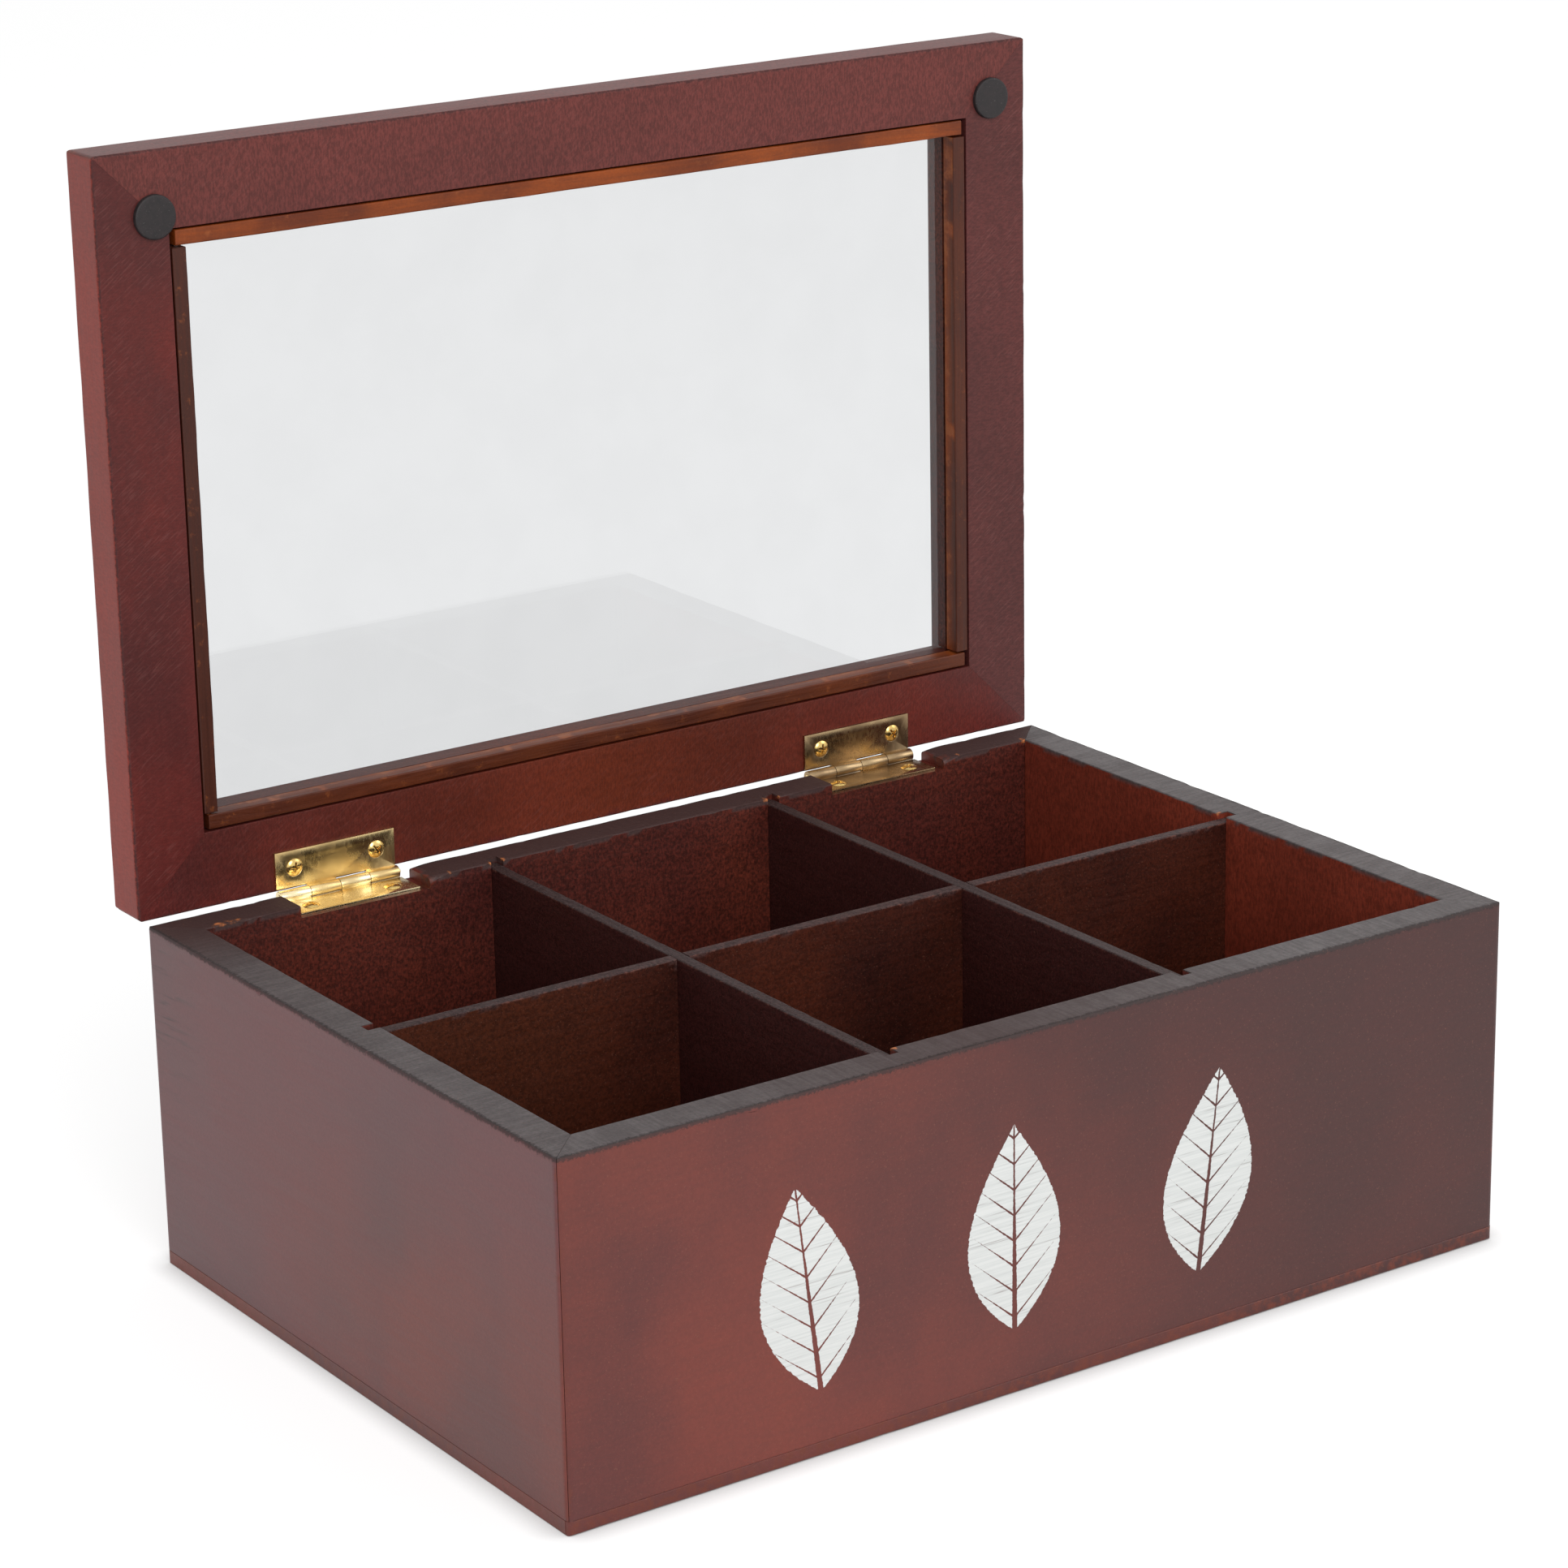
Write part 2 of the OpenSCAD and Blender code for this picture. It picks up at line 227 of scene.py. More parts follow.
def wear_group():
    """Breaks an edge mask up, so that a finish wears through in patches."""
    tree, given, out = new_group("worn_edge", {"Edge": 0.0, "Amount": 0.5, "Fineness": 1.0}, ["Wear"])
    fine = scaled(tree, given["Place"], given["Fineness"])
    patches = noise_value(tree, fine, scale=420.0, detail=4.0, roughness=0.65)
    reach = plus(tree, times(tree, given["Edge"], given["Amount"]), patches)
    feed(tree, out, Wear=between(tree, reach, 0.85, 1.15))
    return tree


def speck_group():
    """Tiny pale fibres and dust caught in the finish."""
    tree, given, out = new_group("dust_specks", {"Amount": 0.5}, ["Specks"])
    grit = noise_value(tree, given["Place"], scale=2600.0, detail=1.0)
    feed(tree, out, Specks=times(tree, between(tree, grit, 0.66, 0.76), given["Amount"]))
    return tree


def leaf_group():
    """A printed leaf: a pointed oval with thin gaps for its midrib and its veins."""
    sizes = {"Middle Along": 0.0, "Middle Up": 0.0, "Half Width": 0.01, "Half Height": 0.02, "Lean": 0.0}
    tree, given, out = new_group("leaf_print", sizes, ["Ink"])
    parts = add(tree, "ShaderNodeSeparateXYZ", {0: given["Place"]}).outputs
    ragged = noise_value(tree, given["Place"], scale=1300.0, detail=2.0)
    ragged = times(tree, minus(tree, ragged, 0.5), 0.9 * MM)
    along = minus(tree, parts["X"], given["Middle Along"])
    up = minus(tree, parts["Z"], given["Middle Up"])
    along = minus(tree, along, times(tree, up, given["Lean"]))
    share = maths(tree, "DIVIDE", up, given["Half Height"])
    bow = minus(tree, 1.0, times(tree, share, share))
    fuller = minus(tree, 1.0, times(tree, share, 0.28))
    width = times(tree, times(tree, bow, fuller), given["Half Width"])
    aside = maths(tree, "ABSOLUTE", along)
    inside = plus(tree, minus(tree, width, aside), ragged)
    soft = 0.06 * MM
    blade = between(tree, inside, -soft, soft)
    rib_half = between(tree, share, -1.0, 0.8, 0.65 * MM, 0.2 * MM)
    past_rib = plus(tree, minus(tree, aside, rib_half), times(tree, ragged, 0.4))
    blade = times(tree, blade, between(tree, past_rib, -soft, soft))
    vein_step = 5.6 * MM
    slanted = minus(tree, up, times(tree, aside, 0.85))
    phase = maths(tree, "FRACT", maths(tree, "DIVIDE", slanted, vein_step))
    from_vein = times(tree, maths(tree, "ABSOLUTE", minus(tree, phase, 0.5)), vein_step)
    vein_half = minus(tree, 0.3 * MM, times(tree, aside, 0.03))
    past_vein = plus(tree, minus(tree, from_vein, vein_half), times(tree, ragged, 0.4))
    feed(tree, out, Ink=times(tree, blade, between(tree, past_vein, -soft, soft)))
    return tree


def tarnish_group():
    """Patches of slightly browned brass, worn by handling, and fine scuffs."""
    tree, given, out = new_group("brass_tarnish", {"Amount": 0.5}, ["Tarnish", "Scuffs"])
    patches = noise_value(tree, given["Place"], scale=120.0, detail=2.0, roughness=0.5)
    scuffs = noise_value(tree, stretched(tree, given["Place"], 1500, 700, 700), detail=4.0, roughness=0.65)
    dark = times(tree, between(tree, patches, 0.36, 0.74), given["Amount"])
    feed(tree, out, Tarnish=dark, Scuffs=between(tree, scuffs, 0.4, 0.7))
    return tree


GRAIN = grain_group()
CLOUDS = cloud_group()
SANDING = sanding_group()
SAWN = saw_group()
WEAR = wear_group()
SPECKS = speck_group()
LEAF = leaf_group()
TARNISH = tarnish_group()


# ---------------------------------------------------------------- materials

def seen_directly(tree):
    """1 where the camera sees a surface itself, in a reflection or through glass, and 0 otherwise."""
    path = add(tree, "ShaderNodeLightPath").outputs
    either = maths(tree, "MAXIMUM", path["Is Camera Ray"], path["Is Glossy Ray"])
    return maths(tree, "MAXIMUM", either, path["Is Transmission Ray"])


def new_material(name):
    """(material, its node tree, its Principled BSDF)"""
    material = bpy.data.materials.new(name)
    material.use_nodes = True
    tree = material.node_tree
    return material, tree, tree.nodes["Principled BSDF"]


def board_place(tree):
    """Where a point lies on its board: along it, across it and up it."""
    return add(tree, "ShaderNodeAttribute", attribute_name="board_place").outputs["Vector"]


def board_masks(tree):
    """The masks and the tint stored on a board, as sockets by name."""
    marks = add(tree, "ShaderNodeAttribute", attribute_name="board_marks")
    tint = add(tree, "ShaderNodeAttribute", attribute_name="board_tint")
    edges = add(tree, "ShaderNodeAttribute", attribute_name="board_edges")
    rim, rubbed, inside = add(tree, "ShaderNodeSeparateColor", {"Color": marks.outputs["Color"]}).outputs
    grime, scratched, fuzzy = add(tree, "ShaderNodeSeparateColor", {"Color": edges.outputs["Color"]}).outputs
    return {
        "rim": rim, "rubbed": rubbed, "inside": inside, "bare": marks.outputs["Alpha"],
        "tint": tint.outputs["Color"], "tinted": tint.outputs["Alpha"],
        "grime": grime, "scratched": scratched, "fuzzy": fuzzy, "soaked": edges.outputs["Alpha"],
    }


def varied(tree, colour, pattern, strength):
    """The colour made lighter and darker by a pattern of -1 to 1."""
    factor = plus(tree, times(tree, pattern, strength), 1.0)
    return blend(tree, 1.0, colour, factor, "MULTIPLY")


def bump(tree, height, depth, strength):
    inputs = {"Height": height, "Distance": depth, "Strength": strength}
    return add(tree, "ShaderNodeBump", inputs).outputs["Normal"]


def board_patterns(tree, fineness, size):
    """What the boards' materials share: the place, the masks, the grain and the clouds of the stain."""
    place = board_place(tree)
    grain = use_group(tree, GRAIN, Place=place, Fineness=fineness)
    clouds = use_group(tree, CLOUDS, Place=place, Size=size)
    return place, board_masks(tree), grain, clouds


def stained_wood(name, tones, finish):
    """Mahogany-stained wood with a satin finish, for the walls, the base and the lid frame."""
    material, tree, shader = new_material(name)
    shader.inputs["IOR"].default_value = finish["index"]
    shader.inputs["Specular IOR Level"].default_value = finish["shine"]
    place, mask, grain, clouds = board_patterns(tree, 1.0, 1.0)
    sanded = add(tree, "ShaderNodeTexCoord").outputs["Object"] if finish["whole"] else place
    scratches = use_group(tree, SANDING, Place=sanded, Angle=finish["angle"],
                          Fineness=finish["fineness"])["Scratches"]
    scratches = times(tree, scratches, mask["scratched"])
    sawn = use_group(tree, SAWN, Place=place, Amount=0.45)["Marks"]
    wear = use_group(tree, WEAR, Place=place, Edge=mask["rubbed"], Amount=0.62)["Wear"]
    grime = use_group(tree, WEAR, Place=place, Edge=mask["grime"], Amount=0.8, Fineness=3.2)["Wear"]
    chipped = use_group(tree, WEAR, Place=place, Edge=mask["bare"], Amount=0.8)["Wear"]
    specks = use_group(tree, SPECKS, Place=place, Amount=finish["specks"])["Specks"]

    depth = plus(tree, times(tree, clouds["Clouds"], 0.8), times(tree, clouds["Bands"], 0.2))
    colour = blend(tree, depth, tones["deep"], tones["red"])
    colour = blend(tree, mask["tinted"], colour, mask["tint"])
    colour = varied(tree, colour, between(tree, clouds["Clouds"], 0.0, 1.0, -1.0, 1.0), 0.1)
    # Partly the inside's own rougher stain, partly painted shade: inside faces, the base's top and the lid's
    # rebates are blended towards these darker, more orange colours, more where less light falls
    inner = blend(tree, depth, tones["inside_dark"], tones["inside"])
    colour = blend(tree, mask["inside"], colour, inner)
    open_sand = plus(tree, times(tree, mask["inside"], 0.5), finish["sand"])
    colour = varied(tree, colour, grain["Sand"], open_sand)
    colour = varied(tree, colour, grain["Fibre"], finish["fibre"])
    colour = varied(tree, colour, grain["Fuzz"], times(tree, mask["fuzzy"], 0.24))
    pores = times(tree, grain["Pores"], minus(tree, 1.0, mask["inside"]))
    colour = blend(tree, times(tree, pores, finish["pores"]), colour, tones["deep"])
    colour = blend(tree, scratches, colour, tones["scratch"])
    # The rim's top is painted grey over its saw marks: end grain with a painted sheen
    end_grain_and_sheen = blend(tree, sawn, tones["rim_dark"], tones["rim"])
    end_grain_and_sheen = varied(tree, end_grain_and_sheen, grain["Sand"], 0.2)
    colour = blend(tree, mask["rim"], colour, end_grain_and_sheen)
    colour = blend(tree, mask["soaked"], colour, tones["soaked"])
    colour = blend(tree, wear, colour, tones["worn"])
    # The dark arris bands: partly grime, partly painted shade
    colour = blend(tree, times(tree, grime, 0.8), colour, tones["grime"])
    colour = blend(tree, specks, colour, seen(150, 96, 74))
    colour = blend(tree, chipped, colour, seen(196, 116, 64))

    sheen = finish["sheen"]
    rim_dull = times(tree, mask["rim"], between(tree, sawn, 0.0, 1.0, 0.18, 0.06))
    dull = plus(tree, between(tree, grain["Fibre"], -1.0, 1.0, sheen, sheen + 0.04), rim_dull)
    dull = plus(tree, dull, times(tree, clouds["Clouds"], 0.05))
    dull = plus(tree, dull, times(tree, mask["soaked"], 0.25))
    dull = plus(tree, dull, times(tree, grime, 0.25), clamp=True)
    height = minus(tree, times(tree, grain["Fibre"], 0.16), times(tree, pores, 0.25))
    height = minus(tree, height, times(tree, scratches, 0.8))
    height = plus(tree, height, times(tree, times(tree, sawn, mask["rim"]), 0.4))
    height = plus(tree, height, times(tree, grain["Sand"], open_sand))
    feed(tree, shader, Base_Color=colour, Roughness=dull, Normal=bump(tree, height, 0.04 * MM, 0.6))
    return material, tree, shader


def print_leaves(tree, shader):
    """A row of white leaves printed on the front, with the grain showing through in hairlines."""
    place = board_place(tree)
    ink = None
    for middle, lean in zip(LEAF_MIDDLES, LEAF_LEANS):
        leaf = use_group(tree, LEAF, Place=place, Middle_Along=middle + FRONT_SHIFT.x,
                         Middle_Up=LEAF_UP + FRONT_SHIFT.z, Half_Width=LEAF_W / 2,
                         Half_Height=LEAF_H / 2, Lean=lean)["Ink"]
        ink = leaf if ink is None else maths(tree, "MAXIMUM", ink, leaf)
    hairlines = noise_value(tree, stretched(tree, place, 60, 60, 2600), detail=2.0)
    ink = times(tree, ink, between(tree, hairlines, 0.24, 0.36, 0.55, 1.0))
    across = add(tree, "ShaderNodeSeparateXYZ", {0: place}).outputs["Y"]
    face_end = FRONT_SHIFT.y + 0.2 * MM
    ink = times(tree, ink, between(tree, across, face_end, face_end + 0.1 * MM, 1.0, 0.0))
    wood = shader.inputs["Base Color"].links[0].from_socket
    dull = shader.inputs["Roughness"].links[0].from_socket
    paint = blend(tree, between(tree, hairlines, 0.3, 0.7), seen(214, 217, 215), seen(226, 228, 226))
    dull = plus(tree, dull, between(tree, ink, 0.0, 1.0, 0.0, 0.16), clamp=True)
    feed(tree, shader, Base_Color=blend(tree, ink, wood, paint), Roughness=dull)


def stained_panel():
    """Darker, thinner stain on the thin dividers, painted darker still as painted shade inside the box."""
    material, tree, shader = new_material("stained_panel")
    shader.inputs["Specular IOR Level"].default_value = 0.18
    place, mask, grain, clouds = board_patterns(tree, 1.2, 0.8)
    specks = use_group(tree, SPECKS, Place=place, Amount=0.35)["Specks"]
    wear = use_group(tree, WEAR, Place=place, Edge=mask["rubbed"], Amount=0.4)["Wear"]
    colour = blend(tree, clouds["Clouds"], seen(46, 17, 12), seen(72, 30, 17))
    colour = blend(tree, mask["tinted"], colour, mask["tint"])
    colour = varied(tree, colour, grain["Fibre"], 0.06)
    colour = varied(tree, colour, grain["Sand"], 0.34)
    edge = blend(tree, mask["tinted"], seen(68, 48, 46), seen(58, 43, 42))
    edge = varied(tree, edge, grain["Sand"], 0.55)
    colour = blend(tree, mask["rim"], colour, edge)
    colour = blend(tree, wear, colour, seen(112, 70, 60))
    colour = blend(tree, specks, colour, seen(122, 80, 66))
    height = plus(tree, grain["Sand"], times(tree, grain["Fibre"], 0.5))
    feed(tree, shader, Base_Color=colour, Roughness=between(tree, grain["Fibre"], -1.0, 1.0, 0.48, 0.6),
         Normal=bump(tree, height, 0.03 * MM, 0.6))
    return material


def bead_wood():
    """Amber glazing beads with a thin coat of varnish."""
    material, tree, shader = new_material("bead_wood")
    shader.inputs["Specular IOR Level"].default_value = 0.3
    place, mask, grain, clouds = board_patterns(tree, 1.3, 0.5)
    wear = use_group(tree, WEAR, Place=place, Edge=mask["rubbed"], Amount=0.35)["Wear"]
    colour = blend(tree, clouds["Clouds"], seen(96, 39, 12), seen(142, 66, 18))
    colour = blend(tree, mask["tinted"], colour, mask["tint"])
    colour = varied(tree, colour, grain["Fibre"], 0.14)
    colour = varied(tree, colour, grain["Sand"], 0.08)
    # Lighter orange on worn edges, and as a painted highlight on the window-facing sides
    colour = blend(tree, wear, colour, seen(148, 80, 38))
    feed(tree, shader, Base_Color=colour, Roughness=between(tree, grain["Fibre"], -1.0, 1.0, 0.4, 0.52),
         Normal=bump(tree, grain["Fibre"], 0.03 * MM, 0.6))
    return material


def brass(name, bright, aged_and_shaded, amount, smooth):
    """Brass plate or screws, with light ageing."""
    material, tree, shader = new_material(name)
    place = add(tree, "ShaderNodeTexCoord").outputs["Object"]
    found = use_group(tree, TARNISH, Place=place, Amount=amount)
    colour = blend(tree, found["Tarnish"], bright, aged_and_shaded)
    shader.inputs["Metallic"].default_value = 1.0
    scuffed = between(tree, found["Scuffs"], 0.0, 1.0, smooth, smooth + 0.08)
    dull = plus(tree, scuffed, times(tree, found["Tarnish"], 0.12))
    feed(tree, shader, Base_Color=colour, Roughness=dull,
         Normal=bump(tree, found["Scuffs"], 0.003 * MM, 0.3))
    return material


def bumper_rubber():
    """Charcoal rubber with a faint moulded grain and dust."""
    material, tree, shader = new_material("bumper_rubber")
    shader.inputs["Specular IOR Level"].default_value = 0.4
    place = add(tree, "ShaderNodeTexCoord").outputs["Object"]
    skin = noise_value(tree, place, scale=900.0, detail=3.0)
    specks = use_group(tree, SPECKS, Place=place, Amount=0.8)["Specks"]
    colour = blend(tree, between(tree, skin, 0.3, 0.7), seen(26, 22, 23), seen(42, 36, 37))
    colour = blend(tree, times(tree, specks, 0.4), colour, seen(110, 104, 104))
    feed(tree, shader, Base_Color=colour, Roughness=between(tree, skin, 0.3, 0.7, 0.5, 0.68),
         Normal=bump(tree, skin, 0.03 * MM, 0.5))
    return material


def window_glass():
    """Clear glass with a faint grey tint. It lets lamps and soft light through."""
    material, tree, shader = new_material("window_glass")
    place = add(tree, "ShaderNodeTexCoord").outputs["Object"]
    haze = noise_value(tree, place, scale=55.0, detail=3.0)
    tints = seen(224, 225, 226), seen(226, 227, 228)
    feed(tree, shader, Base_Color=blend(tree, between(tree, haze, 0.35, 0.65), *tints))
    shader.inputs["Transmission Weight"].default_value = 1.0
    shader.inputs["IOR"].default_value = 1.5
    shader.inputs["Roughness"].default_value = 0.0
    path = add(tree, "ShaderNodeLightPath").outputs
    passing = maths(tree, "MAXIMUM", path["Is Shadow Ray"], path["Is Diffuse Ray"])
    clear = add(tree, "ShaderNodeBsdfTransparent", {"Color": seen(238, 240, 240)})
    mixed = add(tree, "ShaderNodeMixShader", {0: passing, 1: shader.outputs[0], 2: clear.outputs[0]})
    feed(tree, tree.nodes["Material Output"], Surface=mixed.outputs[0])
    return material


# ---------------------------------------------------------------- boards

def arc(across, up, radius, start, end, steps):
    """Points of an arc, as (across, up), from one angle in degrees to another."""
    turns = [math.radians(start + (end - start) * k / steps) for k in range(steps + 1)]
    return [(across + radius * math.cos(a), up + radius * math.sin(a)) for a in turns]


def wander(seed, place, size):
    """A smooth random value, about -1 to 1, that changes over size."""
    return noise.noise(Vector((place / size, seed * 7.31, seed * 3.17))) * 1.6


def make_dents(seed, length, count, deepest):
    """Small dents along an edge, as (where, half width, depth)."""
    chance = random.Random(seed)
    dents = []
    for _ in range(count):
        where = chance.uniform(-length / 2, length / 2)
        dents.append((where, chance.uniform(0.5, 1.6) * MM, chance.uniform(0.3, 1.0) * deepest))
    return dents


def dent_depth(dents, place):
    depths = [deep * math.exp(-(((place - where) / wide) ** 2)) for where, wide, deep in dents]
    return max(depths, default=0.0)


def calm_ends(half, place):
    """0 at a board's ends and 1 from 6 mm inside them, so that its mitres meet the next board's."""
    return min(1.0, (half - abs(place)) / (6 * MM))


def sections_along(half, notches, corner):
    """The cross-sections of a board: (place, the notch it is cut by or None), from end to end."""
    count = max(4, round(2 * half / SECTION_STEP))
    places = {round(-half + 2 * half * k / count, 6) for k in range(count + 1)}
    for k in range(5):
        turn = math.radians(90 * k / 4)
        for side in (-1, 1):
            places.add(round(side * (half - corner + corner * math.sin(turn)), 6))
    made = [(place, None) for place in places if not any(n["start"] <= place <= n["end"] for n in notches)]
    for notch in notches:
        inside = [p for p in places if notch["start"] < p < notch["end"]]
        made += [(notch["start"], None), (notch["end"], None)]
        made += [(p, notch) for p in [notch["start"], *inside, notch["end"]]]

    def order(section):
        place, notch = section
        edge = 0
        if notch is None:
            edge = -1 if any(place == n["start"] for n in notches) else 0
            edge = 1 if any(place == n["end"] for n in notches) else edge
        return (round(place, 7), edge)
    return sorted(made, key=order)


def inward_offset(ring, amount):
    """The closed outline moved inwards. It runs clockwise, as (across, up)."""
    moved = []
    for k, (across, up) in enumerate(ring):
        before, after = ring[k - 1], ring[(k + 1) % len(ring)]
        step = Vector((after[0] - before[0], after[1] - before[1]))
        if step.length < 1e-9:
            moved.append((across, up))
            continue
        step.normalize()
        moved.append((across + step.y * amount, up - step.x * amount))
    return moved


def cut_ring(ring, notch):
    """The outline with a notch's limits on it: no point lies beyond them."""
    if notch is None:
        return ring
    cut = []
    for across, up in ring:
        across = min(across, notch.get("most_across", across))
        up = min(up, notch.get("most_up", up))
        up = max(up, notch.get("least_up", up))
        cut.append((across, up))
    return cut


BLACK = (0.0, 0.0, 0.0, 1.0)


def pattern_shift(seed):
    """How far a board's patterns are moved, so that no two boards look alike."""
    return Vector((seed * 0.713, seed * 0.291, seed * 0.457))


def board(name, axes, half, outline, masks, material, notches=(), chamfer=None, corner=0.0, depth=None,
          crown=None, tint=BLACK, seed=0):
    """A board lofted along itself and made an object.

    axes is (origin, along, inward, up). outline(place) gives the closed section there as (across, up), and
    masks(place, across, up) the masks of a point, by name. chamfer is the one along the mitres at its
    ends, and None is a board with square ends. corner is the radius of the board's outer upright corners,
    and depth its size across, where its inner upright corners are rounded too. crown(place, up) cuts the
    ends back.
    """
    origin, along, inward, up_axis = axes
    bm = bmesh.new()
    place_layer = bm.verts.layers.float_vector.new("board_place")
    marks_layer = bm.verts.layers.float_color.new("board_marks")
    tint_layer = bm.verts.layers.float_color.new("board_tint")
    edges_layer = bm.verts.layers.float_color.new("board_edges")
    shift = pattern_shift(seed)

    def end_of(across):
        return half if chamfer is None else half - across

    def ring_of(place, notch, inset, limit):
        section = outline(place)
        if inset:
            section = inward_offset(section, chamfer or MITRE_CHAMFER)
        verts = []
        for across, up in cut_ring(section, notch):
            past = min(max(abs(place) - (half - corner), 0.0), corner)
            if corner:
                cut_back = corner - math.sqrt(max(corner * corner - past * past, 0.0))
                across = max(across, cut_back)
                if depth is not None:
                    across = min(across, depth - cut_back)
            reach = min(abs(place), end_of(across) - limit)
            if crown:
                reach = min(reach, half - crown(place, up))
            at = math.copysign(reach, place)
            vert = bm.verts.new(origin + along * at + inward * across + up_axis * up)
            vert[place_layer] = Vector((at, across, up)) + shift
            found = masks(at, across, up)
            vert[marks_layer] = [found.get(key, 0.0) for key in ("rim", "rubbed", "inside", "bare")]
            vert[tint_layer] = (*tint[:3], found.get("tinted", 0.0))
            vert[edges_layer] = [found.get(key, 0.0) for key in ("grime", "scratched", "fuzzy", "soaked")]
            verts.append(vert)
        return verts

    sections = sections_along(half, list(notches), corner)
    rings = [ring_of(sections[0][0], None, True, 0.0)]
    rings += [ring_of(place, notch, False, chamfer or MITRE_CHAMFER) for place, notch in sections]
    rings.append(ring_of(sections[-1][0], None, True, 0.0))
    for first, second in zip(rings, rings[1:]):
        for k in range(len(first)):
            j = (k + 1) % len(first)
            bm.faces.new((first[k], first[j], second[j], second[k]))
    bm.faces.new(rings[0])
    bm.faces.new(rings[-1])
    return finish_mesh(bm, name, material)


def finish_mesh(bm, name, material, sharp=38.0):
    """Cleans a mesh, gives it clean normals and makes it an object."""
    bmesh.ops.remove_doubles(bm, verts=bm.verts, dist=2e-6)
    bmesh.ops.dissolve_degenerate(bm, edges=bm.edges, dist=2e-6)
    bmesh.ops.recalc_face_normals(bm, faces=bm.faces)
    mesh = bpy.data.meshes.new(name)
    bm.to_mesh(mesh)
    bm.free()
    mesh.materials.append(material)
    mesh.shade_smooth()
    mesh.set_sharp_from_angle(angle=math.radians(sharp))
    made = bpy.data.objects.new(name, mesh)
    bpy.context.scene.collection.objects.link(made)
    clean = made.modifiers.new("clean_shading", "WEIGHTED_NORMAL")
    clean.keep_sharp = True
    return made


def near(value, edge, width):
    """1 at the edge, falling to 0 at width from it."""
    return max(0.0, 1.0 - abs(value - edge) / width)


def rise(value, low, high):
    """0 at low, rising smoothly to 1 at high."""
    share = min(max((value - low) / (high - low), 0.0), 1.0)
    return share * share * (3 - 2 * share)


# ---------------------------------------------------------------- sizes from the frame

front_low, front_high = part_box("front_wall")
BOX_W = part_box("right_wall")[1].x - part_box("left_wall")[0].x
BOX_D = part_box("rear_wall")[1].y - front_low.y
BOX_H = front_high.z
BASE_T = front_low.z
WALL_T = front_high.y - front_low.y
BOX_ARRIS = 1.2 * MM
# Usual roundings of the rim's two arrises
OUTER_ROUND = 0.75 * MM
INNER_ROUND = 0.3 * MM

long_low, long_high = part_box("long_divider")
DIVIDER_T = long_high.y - long_low.y
DIVIDER_TOP = long_high.z
DIVIDER_GAP = 0.1 * MM
GROOVE_DEPTH = WALL_T - (BOX_W / 2 - long_high.x) + DIVIDER_GAP
SHORT_X = [sum(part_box(f"short_divider_{side}")[k].x for k in (0, 1)) / 2 for side in ("left", "right")]
HALF_SLOT = DIVIDER_T / 2 + DIVIDER_GAP
HALVING = BASE_T + (DIVIDER_TOP - BASE_T) / 2

# The lid is drawn open, so that its front rail is at the top
lid_low, lid_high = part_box("lid_left_rail")
LID_LEFT = lid_low.x
LID_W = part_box("lid_right_rail")[1].x - LID_LEFT
LID_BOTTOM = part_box("lid_rear_rail")[0].z
LID_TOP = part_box("lid_front_rail")[1].z
LID_D = LID_TOP - LID_BOTTOM
LID_T = lid_high.y - lid_low.y
LID_ARRIS = 1.0 * MM
LIP_W = lid_high.x - lid_low.x
BEAD_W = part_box("bead_left")[1].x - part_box("bead_left")[0].x
BEAD_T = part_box("bead_left")[1].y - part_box("bead_left")[0].y
RAIL_W = LIP_W - BEAD_W
GLASS_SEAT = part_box("glass_pane")[1].y - lid_low.y

# The row of leaves printed on the front
LEAF_MIDDLES = (-63 * MM, -12 * MM, 39 * MM)
LEAF_LEANS = (-0.12, 0.0, 0.12)
LEAF_UP = 36.5 * MM
LEAF_W = 23 * MM
LEAF_H = 45 * MM
FRONT_SEED = 1
FRONT_SHIFT = pattern_shift(FRONT_SEED)

X, Y, Z = Vector((1, 0, 0)), Vector((0, 1, 0)), Vector((0, 0, 1))
LID_MIDDLE = (LID_BOTTOM + LID_TOP) / 2

# Where each board lies: its origin, along, inward and up
WALL_AXES = {
    "front_wall": (Y * -BOX_D / 2, X, Y, Z),
    "rear_wall": (Y * BOX_D / 2, -X, -Y, Z),
    "left_wall": (X * -BOX_W / 2, -Y, X, Z),
    "right_wall": (X * BOX_W / 2, Y, -X, Z),
}
LID_AXES = {
    "lid_front_rail": (Y * lid_low.y + Z * LID_TOP, X, -Z, Y),
    "lid_rear_rail": (Y * lid_low.y + Z * LID_BOTTOM, -X, Z, Y),
    "lid_left_rail": (Y * lid_low.y + Z * LID_MIDDLE + X * LID_LEFT, Z, X, Y),
    "lid_right_rail": (Y * lid_low.y + Z * LID_MIDDLE + X * (LID_LEFT + LID_W), -Z, -X, Y),
}


# ---------------------------------------------------------------- box

def hinge_gains():
    """Where the hinges are let into the rim of the rear wall, in that wall's own direction."""
    gains = []
    for side in ("left", "right"):
        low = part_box(f"hinge_{side}_box_leaf")[0]
        gains.append((-(low.x + HINGE_LENGTH + GAIN_RIGHT), -(low.x - GAIN_LEFT)))
    return gains


GAINS = hinge_gains()
GAIN_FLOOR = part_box("hinge_left_box_leaf")[0].z


def broken(place):
    """How far the inner arris is broken away beside the right end of a hinge, 0 to 1."""
    return max(near(place, start, GAIN_SLOPE) if place <= start else 0.0 for start, _ in GAINS)


